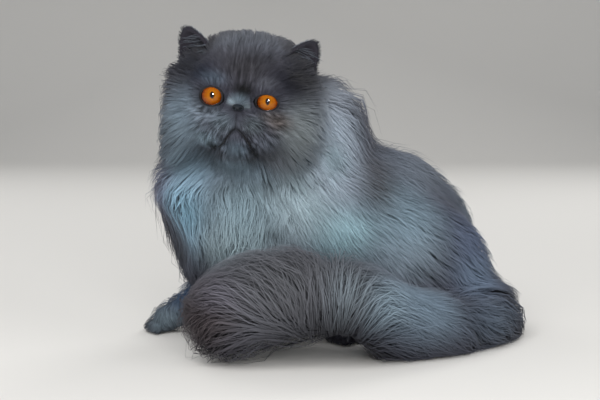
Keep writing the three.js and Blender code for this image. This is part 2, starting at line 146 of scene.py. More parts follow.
class Place:
    """A part's own frame: -Y is forward, +X the cat's left and +Z up."""

    def __init__(self, origin, yaw=0.0, roll=0.0, pitch=0.0):
        self.origin = np.array(origin, float)
        turns = ((yaw, "Z"), (roll, "Y"), (pitch, "X"))
        matrix = Matrix.Identity(3)
        for angle, axis in turns:
            matrix = matrix @ Matrix.Rotation(math.radians(angle), 3, axis)
        self.turn = np.array(matrix)

    def out(self, points):
        return np.asarray(points, float) @ self.turn.T + self.origin

    def toward(self, directions):
        return np.asarray(directions, float) @ self.turn.T

    def within(self, points):
        return (points - self.origin) @ self.turn

    def patch(self, points, centre, radii):
        """A soft patch: 1 at its centre, fading to nothing past its radii."""
        local = (self.within(points) - np.array(centre)) / np.array(radii)
        return np.exp(-PATCH_FALL * (local * local).sum(1) ** PATCH_EDGE)


ROOM = Place((0, 0, 0))
HEAD = Place((-51, -12, 239), yaw=-5, roll=6.5)
BODY = Place((-45, 20, 0), yaw=-62)
BACK = BODY.toward((0, 1, 0))
NOSE_TIP = HEAD.out((0, -60, -8))
SIDES = ((1, "left"), (-1, "right"))
eye_low, eye_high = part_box("eye_left")
SHIFT = np.array((eye_low + eye_high) / 2) * 1000 - HEAD.out((EYE_SPACING / 2, -EYE_AHEAD, 0))


def to_scene(points):
    return (points + SHIFT) / 1000


class Ellipsoid:
    """An oval of flesh, as a signed distance."""

    def __init__(self, place, centre, radii):
        self.scale = place.turn / np.array(radii, float)
        self.offset = (place.origin @ place.turn + np.array(centre, float)) / radii
        self.radii = np.array(radii, float)

    def distance(self, points):
        return oval_distance(points @ self.scale - self.offset, self.radii)


def smooth_curve(points, shares):
    """Places on a centripetal curve through the points, at shares of its length."""
    knots = np.array(points, float)
    knots = np.vstack([2 * knots[0] - knots[1], knots, 2 * knots[-1] - knots[-2]])
    fine = []
    for four in zip(knots, knots[1:], knots[2:], knots[3:]):
        gaps = [math.sqrt(np.linalg.norm(b - a)) for a, b in zip(four, four[1:])]
        times = np.cumsum([0, *gaps])
        t = np.linspace(times[1], times[2], 60, endpoint=False)[:, None]
        level = list(four)
        for reach in (1, 2):
            level = [
                ((times[i + reach] - t) * a + (t - times[i]) * b) / (times[i + reach] - times[i])
                for i, (a, b) in enumerate(zip(level, level[1:]))
            ]
        fine.append(((times[2] - t) * level[0] + (t - times[1]) * level[1]) / (times[2] - times[1]))
    fine = np.vstack([*fine, knots[-2]])
    run = np.concatenate([[0], np.cumsum(length_of(np.diff(fine, axis=0)))])
    return np.stack([np.interp(np.asarray(shares) * run[-1], run, fine[:, i]) for i in range(3)], 1)


class Limb:
    """A round limb or length of tail along a curve, as a signed distance."""

    def __init__(self, points, start_radius, end_radius, first=0.0, last=1.0, steps=12):
        shares = np.linspace(first, last, steps + 1)
        self.knots = smooth_curve(points, shares)
        self.radii = lerp(start_radius, end_radius, shares)

    def distance(self, points):
        best = np.full(len(points), 1e9)
        for a, b, r0, r1 in zip(self.knots, self.knots[1:], self.radii, self.radii[1:]):
            span = b - a
            share = np.clip((points - a) @ span / (span @ span), 0, 1)
            best = np.minimum(best, length_of(points - a - share[:, None] * span) - lerp(r0, r1, share))
        return best


def melt(a, b, blend):
    """The nearer of two surfaces, rounded off where they meet."""
    near = np.maximum(blend - np.abs(a - b), 0) / blend
    return np.minimum(a, b) - near * near * blend / 4


# How deep the coat stands
def head_coat(points):
    local = HEAD.within(points)
    from_nose = length_of(local - np.array((0, -58, -10)))
    cheek = smoothstep(np.abs(local[:, 0]), 15, 60) * (1 - 0.8 * smoothstep(local[:, 2], 0, 32))
    return 3.5 + 4 * smoothstep(from_nose, 25, 60) + 15 * cheek * smoothstep(from_nose, 40, 80)


def tail_coat(points):
    x = points[:, 0]
    return 80 - 50 * smoothstep(x, 15, 130) - 24 * (1 - smoothstep(x, -75, 10))


def leg_coat(points):
    return lerp(4, 15, smoothstep(points[:, 2], 14, 70))


def even(depth):
    return lambda points: np.full(len(points), float(depth))


# Which way the coat lies
def away_from_nose(points):
    return unit(points - NOSE_TIP) - 0.25 * UP


def back_and_down(back, down):
    direction = unit(BACK * back - UP * down)
    return lambda points: np.broadcast_to(direction, points.shape)


def chest_lie(points):
    aside = points - BODY.origin
    aside[:, 2] = 0
    return 0.35 * unit(aside) - UP


# How far the plume's hair swings from upright, in degrees, at places across it
SWING_PLACES = (-95, -45, -10, 20, 40, 90)
SWINGS = (-78, -56, -34, -12, 12, 42)
LOW_SWINGS = (-62, -84, -96, -104, 100, 76)  # added below the parting
PARTING = (46, 46, 38, 18, 15, 24)  # its height


def tail_lie(points):
    """Sweeps aside at the plume's end, up over its middle, and hangs back over the haunch beyond."""
    above = points[:, 2] - np.interp(points[:, 0], SWING_PLACES, PARTING)
    low = 1 - smoothstep(above, -14, 14)
    swing = np.interp(points[:, 0], SWING_PLACES, SWINGS)
    swing = np.radians(swing + low * np.interp(points[:, 0], SWING_PLACES, LOW_SWINGS))
    hang = smoothstep(points[:, 0], 45, 125)[:, None]
    fan = np.stack([np.sin(swing), 0.1 * np.sin(swing), np.cos(swing)], 1)
    return fan + 1.5 * hang * (0.7 * BACK - UP)


LEG_POINTS = {
    "foreleg_left": [(36, 22, 108), (42, 12, 62), (38, -22, 26), (36, -44, 13)],
    "foreleg_right": [(-36, 16, 108), (-52, 0, 62), (-66, -34, 28), (-76, -62, 13)],
    "hindleg_left": [(66, 172, 20), (66, 120, 13), (60, 74, 13)],
    "hindleg_right": [(-66, 172, 20), (-66, 120, 13), (-60, 74, 13)],
}
LEGS = {node: [tuple(BODY.out(p)) for p in points] for node, points in LEG_POINTS.items()}
TAIL = [
    *[(150, 118, 60), (174, 94, 34), (186, 52, 20), (174, 4, 20)],
    *[(138, -38, 22), (84, -76, 28), (20, -98, 36), (-46, -96, 48)],
]
TAIL_NODES = ("tail_base", "tail_middle", "tail_bend", "tail_tip")
TAIL_SPLITS = (0, 0.26, 0.5, 0.74, 1)

# The regions of flesh: node, form, depth of coat and its lie
HEAD_FORMS = [
    ((0, 5, 12), (47, 50, 42)),
    ((0, -46, -5), (10, 12, 10)),
    ((0, -40, -43), (14, 13, 11)),
    ((0, -13, -34), (34, 32, 21)),
    *[((side * 32, -14, -18), (27, 30, 27)) for side, _ in SIDES],
    *[((side * 13, -43, -28), (16, 15, 16)) for side, _ in SIDES],
    *[((side * 22, -34, 16), (18, 16, 13)) for side, _ in SIDES],
    *[((side * EYE_SPACING / 2, -35, -1), (19, 11, 17)) for side, _ in SIDES],
]
FORMS = [("head", Ellipsoid(HEAD, *form), head_coat, away_from_nose) for form in HEAD_FORMS]
FORMS += [
    ("ruff", Ellipsoid(ROOM, (-48, 8, 190), (42, 42, 46)), even(34), chest_lie),
    ("ruff", Ellipsoid(ROOM, (-6, 45, 190), (44, 44, 44)), even(35), back_and_down(0.5, 1)),
    ("ruff", Ellipsoid(BODY, (0, -18, 125), (48, 46, 56)), even(38), chest_lie),
    ("torso", Ellipsoid(BODY, (0, 60, 128), (52, 60, 54)), even(32), back_and_down(1, 1)),
    ("torso", Ellipsoid(BODY, (0, 112, 98), (62, 116, 66)), even(28), back_and_down(1, 1)),
]
for side, name in SIDES:
    shoulder = Ellipsoid(BODY, (side * 34, 32, 104), (26, 34, 46))
    thigh = Ellipsoid(BODY, (side * 58, 165, 62), (32, 56, 56))
    FORMS.append(("torso", shoulder, even(28), back_and_down(0.5, 1)))
    FORMS.append((f"hindleg_{name}", thigh, even(26), back_and_down(0.8, 1)))
for node, points in LEGS.items():
    limb = Limb(points, 20 if node.startswith("fore") else 15, 13)
    FORMS.append((node, limb, leg_coat, back_and_down(0.3, 1)))
for node, first, last in zip(TAIL_NODES, TAIL_SPLITS, TAIL_SPLITS[1:]):
    FORMS.append((node, Limb(TAIL, 11, 3, first, last), tail_coat, tail_lie))
NODES = list(dict.fromkeys(node for node, *_ in FORMS))

# Small forms that only the skin has: the lids' mounds round the eyes, and the toes
EYES = {name: HEAD.out((side * EYE_SPACING / 2, -EYE_AHEAD, 0)) for side, name in SIDES}
LID_MOUND = EYE_RADIUS + 1.6
DETAILS = []
for side, _ in SIDES:
    DETAILS.append((Ellipsoid(HEAD, (side * EYE_SPACING / 2, -EYE_AHEAD, 0), (LID_MOUND,) * 3), LID_BLEND))
TOES = []
TOE_GAPS = []
for points in LEGS.values():
    end = smooth_curve(points, [0.98, 1.0])
    ahead = unit((end[1] - end[0]) * np.array((1, 1, 0)))
    aside = np.cross(ahead, UP)
    for slot in (-1.5, -0.5, 0.5, 1.5):
        reach = TOE_REACH if abs(slot) < 1 else TOE_REACH - 4
        toe = end[1] + ahead * reach + aside * slot * TOE_STEP
        TOES.append((toe[0], toe[1], TOE_WIDTH / 2 + 0.6))
    for slot in (-1, 0, 1):
        TOE_GAPS.append((end[1] + ahead * TOE_REACH + aside * slot * TOE_STEP, ahead, aside))
DETAILS += [(Ellipsoid(ROOM, toe, (6, 6, 5.6)), 2.5) for toe in TOES]


def flesh_distances(points):
    return np.array([form.distance(points) for _, form, _, _ in FORMS])


def melted(distances):
    skin = distances[0]
    for other in distances[1:]:
        skin = melt(skin, other, BLEND)
    return skin


def detailed(skin, points):
    """Adds the small forms to a distance from the flesh."""
    for form, blend in DETAILS:
        skin = melt(skin, form.distance(points), blend)
    return skin


def skin_form(points):
    """Signed distance of the bare skin, with its small forms."""
    return detailed(melted(flesh_distances(points)), points)


def slope_of(form, points, reach=0.5):
    steps = np.eye(3) * reach
    return np.stack([form(points + step) - form(points - step) for step in steps], 1) / (2 * reach)


def settled(form, points, passes=3):
    """Points moved onto the zero surface of a form."""
    for _ in range(passes):
        slope = slope_of(form, points)
        steep = np.maximum((slope * slope).sum(1), 0.2)
        points = points - slope * np.clip(form(points) / steep, -3, 3)[:, None]
    return points


class Field:
    """Skin distance, coat depth, lie and outward direction, kept on a grid and read between its points."""

    STEP = 4.0
    LOW = np.array((-190.0, -204.0, -14.0))
    COUNT = (112, 113, 88)

    def __init__(self):
        points = grid_points(self.LOW, self.STEP, self.COUNT)
        distances = flesh_distances(points)
        skin = melted(distances)
        close = np.flatnonzero(np.abs(skin) < 30)
        self.skin = skin.copy()
        self.skin[close] = detailed(skin[close], points[close])
        self.skin = self.skin.reshape(self.COUNT)
        values = np.zeros((len(points), 8), np.float32)
        near = np.flatnonzero((skin > -24) & (skin < 90))
        values[:, 0] = skin
        values[near, 1:5] = self.coat(points[near], distances[:, near])
        slopes = np.gradient(skin.reshape(self.COUNT), self.STEP)
        values[:, 5:] = np.stack(slopes, -1).reshape(-1, 3)
        self.values = values

    @staticmethod
    def coat(points, distances):
        least = distances.min(0)
        depth = np.zeros(len(points))
        lie = np.zeros((len(points), 3))
        total = np.zeros(len(points))
        for (_, _, coat, lies), distance in zip(FORMS, distances):
            weight = np.exp((least - distance) / (BLEND / 2))
            some = np.flatnonzero(weight > 0.02)
            if not len(some):
                continue
            depth[some] += weight[some] * coat(points[some])
            lie[some] += weight[some, None] * unit(lies(points[some]))
            total[some] += weight[some]
        return np.column_stack([depth / total, lie / total[:, None]])

    def at(self, points):
        where = np.clip((points - self.LOW) / self.STEP, 0, np.array(self.COUNT) - 1.001)
        cell = where.astype(int)
        part = where - cell
        strides = np.array((self.COUNT[1] * self.COUNT[2], self.COUNT[2], 1))
        index = cell @ strides
        result = np.zeros((len(points), 8))
        for corner in np.ndindex(2, 2, 2):
            weight = np.where(corner, part, 1 - part).prod(1)
            result += weight[:, None] * self.values[index + np.array(corner) @ strides]
        return result[:, 0], result[:, 1], result[:, 2:5], unit(result[:, 5:])


field = Field()


def net_surface(values, low, step):
    """A quad mesh over the zero surface of values on a grid."""
    inside = values < 0
    corners = list(np.ndindex(2, 2, 2))
    size = np.array(values.shape)
    windows = [[slice(c, n - 1 + c) for c, n in zip(corner, size)] for corner in corners]
    count = sum(inside[tuple(window)].astype(np.int8) for window in windows)
    cells = np.argwhere((count > 0) & (count < 8))
    number = np.full(size - 1, -1)
    number[tuple(cells.T)] = np.arange(len(cells))
    total = np.zeros((len(cells), 3))
    crossings = np.zeros(len(cells))
    for axis in range(3):
        ahead = np.eye(3, dtype=int)[axis]
        for corner in corners:
            if corner[axis]:
                continue
            start = cells + corner
            a, b = values[tuple(start.T)], values[tuple((start + ahead).T)]
            crossed = (a < 0) != (b < 0)
            share = a[crossed] / (a[crossed] - b[crossed])
            total[crossed] += start[crossed] + share[:, None] * ahead
            crossings[crossed] += 1
    points = low + step * total / crossings[:, None]
    faces = []
    for axis in range(3):
        ahead = np.eye(3, dtype=int)[axis]
        first = inside[tuple(slice(0, n - a) for n, a in zip(size, ahead))]
        second = inside[tuple(slice(a, n) for n, a in zip(size, ahead))]
        edges = np.argwhere(first != second)
        u, v = np.eye(3, dtype=int)[[(axis + 1) % 3, (axis + 2) % 3]]
        edges = edges[((edges[:, (axis + 1) % 3] > 0) & (edges[:, (axis + 2) % 3] > 0))]
        ring = [number[tuple((edges - a * u - b * v).T)] for a, b in ((0, 0), (1, 0), (1, 1), (0, 1))]
        ring = np.stack(ring, 1)
        outward = inside[tuple(edges.T)]
        ring[~outward] = ring[~outward][:, ::-1]
        faces.append(ring)
    return points, np.vstack(faces)


def surface_of(form, low, step, count):
    """A settled quad mesh over a form, found in a cube of grid points."""
    values = form(grid_points(low, step, (count,) * 3)).reshape((count,) * 3)
    points, faces = net_surface(values, low, step)
    return settled(form, points, 2), faces


def add_faces(mesh, points, faces):
    vertices = [mesh.verts.new(p) for p in points]
    for face in faces:
        mesh.faces.new([vertices[i] for i in face])


def points_of(mesh):
    return np.array([v.co for v in mesh.verts])


def move_points(mesh, places):
    for vertex, place in zip(mesh.verts, places):
        vertex.co = place


def near_any(places, centres):
    return np.any([length_of(places - centre) < radius for centre, radius in centres], 0)


def resettled(mesh, form, centres):
    """Settles the points near some centres once more."""
    places = points_of(mesh)
    moved = near_any(places, centres)
    places[moved] = settled(form, places[moved])
    move_points(mesh, places)


def refined(mesh, form, centres):
    """Halves the edges near some centres and settles the new points."""
    mesh.verts.index_update()
    close = near_any(points_of(mesh), centres)
    edges = [e for e in mesh.edges if close[e.verts[0].index] and close[e.verts[1].index]]
    bmesh.ops.subdivide_edges(mesh, edges=edges, cuts=1, use_grid_fill=True)
    mesh.verts.index_update()
    resettled(mesh, form, centres)


# The eyes' openings, in degrees from straight ahead: half width, height above and below
OPENINGS = {"left": (68, 41, 38), "right": (66, 53, 49)}
INNER_CORNER = {"left": math.radians(200), "right": math.radians(-22)}
LID_EDGE = 1.0  # share of an opening where the coated skin ends and the bare rim begins


def opening_reach(turn, name):
    """The angle of an opening's edge from straight ahead, at a turn round the eye."""
    wide, above, below = np.radians(OPENINGS[name])
    high = np.where(np.sin(turn) > 0, above, below)
    reach = 1 / np.sqrt((np.cos(turn) / wide) ** 2 + (np.sin(turn) / high) ** 2)
    off_corner = np.arccos(np.clip(np.cos(turn - INNER_CORNER[name]), -1, 1))
    return reach * (1 + 0.05 * np.exp(-((off_corner / 0.3) ** 2)))


def opening_turn(points, name):
    local = (points - EYES[name]) @ HEAD.turn
    return np.arctan2(local[:, 2], local[:, 0])


def opening_share(points, name):
    """Where points lie across an eye's opening (its edge is at 1), and how far from the eye's centre."""
    local = (points - EYES[name]) @ HEAD.turn
    angle = np.arccos(np.clip(-unit(local)[:, 1], -1, 1))
    return angle / opening_reach(opening_turn(points, name), name), length_of(local)


def at_opening(name, share, turn, reach):
    """Places at a share of an eye's opening, a turn round it and a distance from the eye's centre."""
    angle = share * opening_reach(turn, name)
    rays = np.stack([np.sin(angle) * np.cos(turn), -np.cos(angle), np.sin(angle) * np.sin(turn)], 1)
    return HEAD.toward(rays) * reach + EYES[name]


# The mouth droops from its middle to both corners, as (x, z) across the face
MOUTH = [
    *[(-33, -52), (-24, -51), (-16, -47.5), (-10, -41), (-5, -32.5), (-1.5, -27.5)],
    *[(1, -26.5), (4, -28), (8, -31.5), (14, -39), (18, -46), (20.5, -53)],
]


def on_face(across):
    """Places on the bare skin of the face, straight ahead of the middle of the jaw."""
    across = np.asarray(across, float)
    start = HEAD.out((0, -12, -24))
    targets = HEAD.out(np.column_stack([across[:, 0], np.full(len(across), -56.0), across[:, 1]]))
    rays = unit(targets - start)
    places = np.broadcast_to(start, rays.shape).copy()
    for _ in range(30):
        places -= 0.8 * skin_form(places)[:, None] * rays
    return places


mouth_line = smooth_curve(on_face(MOUTH), np.linspace(0, 1, 61))


def to_line(points, line):
    return np.min([length_of(points - place) for place in line], 0)


def ear_place(side):
    """Stands an ear on the head: it leans out, turns aside and tilts forward."""
    lean, turn, tilt = np.degrees((side * 0.5, side * 0.35, 0.1))
    ear = Place(HEAD.out((side * EAR_SPREAD + EAR_SHIFT, 0, 32)))
    ear.turn = HEAD.turn @ Place((0, 0, 0), turn, lean, tilt).turn
    return ear


EARS = {name: ear_place(side) for side, name in SIDES}


def ear_form(name):
    """A cone that tapers upward, with a smaller one taken out of its front."""

    def cone(local, wide, deep, high):
        taper = 1 - 0.3 * np.clip(local[:, 2] / high, 0, 1)
        radii = np.stack([wide * taper, deep * taper, np.full(len(taper), float(high))], 1)
        return oval_distance(local / radii, radii)

    def distance(points):
        local = EARS[name].within(points)
        outer = cone(local, EAR_WIDTH / 2, 9, EAR_HEIGHT)
        inner = cone(local + np.array((0, 5, 0)), EAR_WIDTH / 2 - EAR_WALL, 10, EAR_HEIGHT - 1.5 * EAR_WALL)
        return np.maximum(outer, -inner)

    return distance


def open_eyes(mesh):
    """Cuts the eyes' openings into the skin, with the points behind them drawn to the edge."""
    places = points_of(mesh)
    gone = []
    for name in EYES:
        share, reach = opening_share(places, name)
        hidden = (share < LID_EDGE) & (reach < LID_MOUND + 6)
        gone += [f for f in mesh.faces if all(hidden[v.index] for v in f.verts)]
        turn = opening_turn(places[hidden], name)
        places[hidden] = at_opening(name, LID_EDGE, turn, reach[hidden, None])
    move_points(mesh, places)
    bmesh.ops.delete(mesh, geom=list(dict.fromkeys(gone)), context="FACES")
    bmesh.ops.delete(mesh, geom=[v for v in mesh.verts if not v.link_faces], context="VERTS")


def build_skin():
    """One skin over head, body, legs and tail, with the ears' cups set into it."""
    points, faces = net_surface(field.skin, Field.LOW, Field.STEP)
    mesh = bmesh.new()
    add_faces(mesh, settled(skin_form, points), faces)
    resettled(mesh, skin_form, [(HEAD.out((0, -52, -12)), 60), *[(np.array(toe), 13) for toe in TOES]])
    refined(mesh, skin_form, [(HEAD.out((0, -56, -12)), 50)])
    open_eyes(mesh)
    for name, ear in EARS.items():
        add_faces(mesh, *surface_of(ear_form(name), ear.origin - 36.0, 1.5, 49))
    places = points_of(mesh)
    places[:, 2] = np.maximum(places[:, 2], 0.3)
    move_points(mesh, to_scene(places))
    data = bpy.data.meshes.new("skin")
    mesh.to_mesh(data)
    mesh.free()
    data.shade_smooth()
    return placed("skin", data)


def unwrap(piece):
    """Lays out the piece's own shape as the map OFBake."""
    bpy.context.view_layer.objects.active = piece
    piece.select_set(True)
    piece.data.uv_layers.new(name="OFBake")
    bpy.ops.object.mode_set(mode="EDIT")
    bpy.ops.mesh.select_all(action="SELECT")
    bpy.ops.uv.smart_project(angle_limit=math.radians(66), island_margin=0.002)
    bpy.ops.object.mode_set(mode="OBJECT")
    piece.select_set(False)


def linear(hexa):
    """The light of an sRGB hex value."""
    channels = np.array([int(hexa[i : i + 2], 16) / 255 for i in (0, 2, 4)])
    return np.where(channels <= 0.04045, channels / 12.92, ((channels + 0.055) / 1.055) ** 2.4)


COAT_BASE = "43434d"
# Markings of the coat, with painted shade in a few folds and in the plume's hollow: what they are, frame,
# centre, radii, colour and strength, laid one over the other.
# Places and sizes are listed. A program fitted these colours and the base to averages of the photo.
MARKS_AND_PAINTED_SHADE = [
    ("right side", BODY, (-85, 95, 100), (60, 150, 90), "6e7a87", 0.9),
    ("behind", BODY, (0, 235, 80), (90, 50, 80), "66727f", 0.9),
    ("nape", HEAD, (0, 62, 5), (64, 42, 64), "5c646e", 0.9),
    ("spine", ROOM, (125, 60, 165), (80, 60, 30), "737c87", 0.8),
    ("rump", ROOM, (176, 20, 90), (34, 60, 45), "606c83", 0.8),
    ("low flank", ROOM, (100, -15, 85), (50, 45, 30), "7b8792", 0.8),
    ("thigh's foot", ROOM, (190, -25, 28), (50, 60, 28), "576371", 0.8),
    ("flank", ROOM, (100, 0, 122), (45, 45, 38), "8399a6", 0.8),
    ("elbow's fluff", ROOM, (45, -45, 112), (36, 45, 26), "afd6e1", 0.8),
    ("haunch", ROOM, (176, 12, 64), (26, 45, 18), "738498", 0.7),
    ("mane", ROOM, (30, -12, 190), (34, 45, 60), "b9c7d6", 0.9),
    ("top of the mane", ROOM, (34, 13, 240), (34, 45, 22), "9ca4af", 0.8),
    # Painted shadow: darkens the fold behind the cheek, where shade falls in the mane.
    ("painted shadow in the fold behind the cheek", ROOM, (34, -18, 178), (14, 30, 20), "6d858b", 0.7),
    ("chest's left", ROOM, (-118, -40, 150), (36, 50, 60), "97afc1", 0.8),
    ("chest's left edge", ROOM, (-136, -14, 146), (18, 45, 40), "565266", 0.7),
    ("left of the bib", ROOM, (-112, -50, 130), (24, 36, 30), "85b4cb", 0.7),
    ("bib", ROOM, (-50, -65, 135), (50, 40, 40), "7b8f98", 0.9),
    ("foot of the bib", ROOM, (-62, -67, 100), (45, 40, 20), "a0b5bc", 0.7),
    ("bib's right", ROOM, (0, -42, 140), (36, 40, 36), "9caeb6", 0.9),
    # Painted shade: the dark band in the fold between mane and flank.
    ("painted shade in the shoulder's fold", ROOM, (78, 6, 160), (15, 35, 36), "4b4849", 0.8),
    ("fluff over the tail", ROOM, (115, -85, 52), (50, 45, 36), "778a99", 0.8),
    ("left of the fluff", ROOM, (80, -130, 64), (26, 45, 26), "a7c1d0", 0.7),
    ("tail", ROOM, (-10, -125, 75), (95, 50, 60), "5d5e62", 0.9),
    # Painted shade: near black in the plume's middle, for the shadow in its hollow.
    ("painted shade in the tail's heart", ROOM, (32, -155, 22), (55, 50, 38), "161616", 1.0),
    ("tail's left", ROOM, (-90, -120, 45), (30, 40, 40), "544848", 0.7),
    ("left of the plume", ROOM, (-78, -130, 70), (20, 45, 18), "74727d", 0.7),
    ("right of the plume", ROOM, (46, -148, 78), (26, 45, 24), "768289", 0.7),
    ("foreleg", ROOM, (-116, 40, 44), (25, 40, 30), "374e6a", 0.8),
    ("paw", ROOM, (-135, 35, 14), (25, 35, 16), "7b8b95", 0.8),
    ("throat", HEAD, (3, -40, -66), (34, 26, 10), "a3bacb", 0.8),
    ("right of the throat", HEAD, (-42, -28, -72), (22, 40, 14), "8aa6b8", 0.7),
    ("under the left jowl", HEAD, (43, -38, -57), (16, 34, 10), "8c919b", 0.6),
    ("cheek, right", HEAD, (-56, -42, -28), (20, 40, 34), "93a7b6", 0.8),
    ("cheek, left", HEAD, (60, -42, -25), (22, 40, 34), "8d9699", 0.8),
    ("crown", HEAD, (-5, -10, 56), (55, 60, 18), "5c6068", 0.9),
    ("forehead", HEAD, (2, -40, 30), (34, 40, 20), "363538", 0.9),
    ("brow", HEAD, (3, -52, 9), (12, 24, 8), "161616", 1.0),
    ("temple, right", HEAD, (-50, -10, 24), (24, 120, 15), "1c202d", 1.0),
    ("temple, left", HEAD, (51, -10, 23), (26, 120, 20), "16161e", 1.0),
    ("above the right eye", HEAD, (-26, -44, 17), (13, 24, 7), "4c5965", 0.7),
    ("above the left eye", HEAD, (24, -44, 17), (12, 24, 7), "4d4f55", 0.7),
    ("under the right eye", HEAD, (-32, -52, -17), (18, 16, 10), "77828e", 0.7),
    ("under the left eye", HEAD, (31, -53, -12), (10, 20, 6), "7c7778", 0.7),
    ("brown patch", HEAD, (40, -50, -17), (14, 16, 9), "564e4b", 0.8),
    ("nose bridge", HEAD, (0, -58, 0), (10, 12, 5), "66757f", 0.8),
    ("nose bridge, right", HEAD, (-6, -58, -3), (4, 8, 3.4), "c1d7e1", 0.4),
    ("nose bridge, left", HEAD, (8, -58, -5), (4, 8, 3.4), "889a9f", 0.4),
    ("muzzle, right", HEAD, (-13, -60, -23), (13, 12, 11), "5c676f", 0.8),
    ("muzzle, left", HEAD, (17, -60, -22), (13, 12, 11), "4a5256", 0.8),
    ("jowl, right", HEAD, (-28, -52, -41), (15, 16, 9), "94abba", 0.7),
    ("jowl, left", HEAD, (30, -52, -39), (15, 16, 9), "676e7a", 0.7),
    ("chin", HEAD, (3, -58, -46), (13, 16, 9), "5d6c78", 0.8),
    ("ears", HEAD, (-EAR_SPREAD, 0, 50), (20, 16, 24), "36353a", 0.9),
    ("ears", HEAD, (EAR_SPREAD, 0, 50), (20, 16, 24), "36353b", 0.9),
]


def marks_and_painted_shade(points):
    """The coat's colour at places on the skin, in linear light, with the painted shade of a few folds and
    hollows.
    """
    colour = np.broadcast_to(linear(COAT_BASE), (len(points), 3)).copy()
    for _, place, centre, radii, hexa, strength in MARKS_AND_PAINTED_SHADE:
        weight = strength * place.patch(points, centre, radii)
        colour = lerp(colour, linear(hexa), weight[:, None])
    return colour


def node_of(tree, kind, links=(), values=(), **settings):
    """Adds a node: links are (output, input), values (input, value), settings fields or inputs."""
    node = tree.nodes.new(kind)
    for key, value in settings.items():
        if hasattr(node, key):
            setattr(node, key, value)
        else:
            node.inputs[key.replace("_", " ")].default_value = value
    for name, value in values:
        node.inputs[name].default_value = value
    for output, name in links:
        tree.links.new(output, node.inputs[name])
    return node


def new_material(name):
    """A material with an empty tree, and the place on the object as its first output."""
    material = bpy.data.materials.new(name)
    material.use_nodes = True
    tree = material.node_tree
    tree.nodes.clear()
    return material, tree, node_of(tree, "ShaderNodeTexCoord").outputs["Object"]


def finish_material(tree, links=(), **settings):
    surface = node_of(tree, "ShaderNodeBsdfPrincipled", links, **settings)
    node_of(tree, "ShaderNodeOutputMaterial", [(surface.outputs[0], "Surface")])
    return surface


def coat_material():
    """Soft guard hair: matt, with a little light caught along each strand."""
    material, tree, place = new_material("soft_long_hair")
    tint = node_of(tree, "ShaderNodeAttribute", attribute_name="tint")
    bands = node_of(tree, "ShaderNodeTexNoise", [(place, "Vector")], Scale=900.0, Detail=2.0)
    spread = node_of(tree, "ShaderNodeMapRange", [(bands.outputs["Fac"], "Value")], To_Min=0.86, To_Max=1.14)
    links = [(tint.outputs["Color"], 0), (spread.outputs[0], "Scale")]
    shade = node_of(tree, "ShaderNodeVectorMath", links, operation="SCALE")
    finish_material(
        tree,
        [(shade.outputs[0], "Base Color")],
        Roughness=0.65,
        Specular_IOR_Level=0.1,
        Sheen_Weight=0.05,
        Sheen_Roughness=0.5,
    )
    return material


def skin_material():
    """Bare hide under the coat: the coat's own colours and painted shade, dulled, with pores."""
    material, tree, place = new_material("hide_under_coat")
    tint = node_of(tree, "ShaderNodeAttribute", attribute_name="tint")
    pores = node_of(tree, "ShaderNodeTexNoise", [(place, "Vector")], Scale=1500.0, Detail=3.0)
    bump = node_of(tree, "ShaderNodeBump", [(pores.outputs["Fac"], "Height")], Strength=0.4, Distance=0.0003)
    links = [(tint.outputs["Color"], "Base Color"), (bump.outputs[0], "Normal")]
    finish_material(tree, links, Roughness=0.85, Specular_IOR_Level=0.2)
    return material


def moist_material(name, hexa, roughness, pebble):
    """Bare dark skin with fine pebbles, damp enough to take a soft highlight."""
    material, tree, place = new_material(name)
    cells = node_of(tree, "ShaderNodeTexVoronoi", [(place, "Vector")], Scale=1000 / pebble)
    height = cells.outputs["Distance"]
    bump = node_of(tree, "ShaderNodeBump", [(height, "Height")], Strength=0.35, Distance=0.0002)
    shade = node_of(tree, "ShaderNodeTexNoise", [(place, "Vector")], Scale=600.0)
    ends = [(6, (*linear(hexa) * 0.75, 1)), (7, (*linear(hexa) * 1.25, 1))]
    ramp = node_of(tree, "ShaderNodeMix", [(shade.outputs["Fac"], "Factor")], ends, data_type="RGBA")
    links = [(ramp.outputs[2], "Base Color"), (bump.outputs[0], "Normal")]
    finish_material(tree, links, Roughness=roughness, Specular_IOR_Level=0.5)
    return material


# The iris from its middle out, as sRGB hex values: golden round the pupil, rust and then a dark ring
IRIS_STOPS = ((0.1, "5e2c02"), (0.3, "905400"), (0.6, "8c4800"), (0.78, "6c2c01"), (0.88, "170a03"))
PUPIL_BLACK = (0.004, 0.004, 0.005, 1)


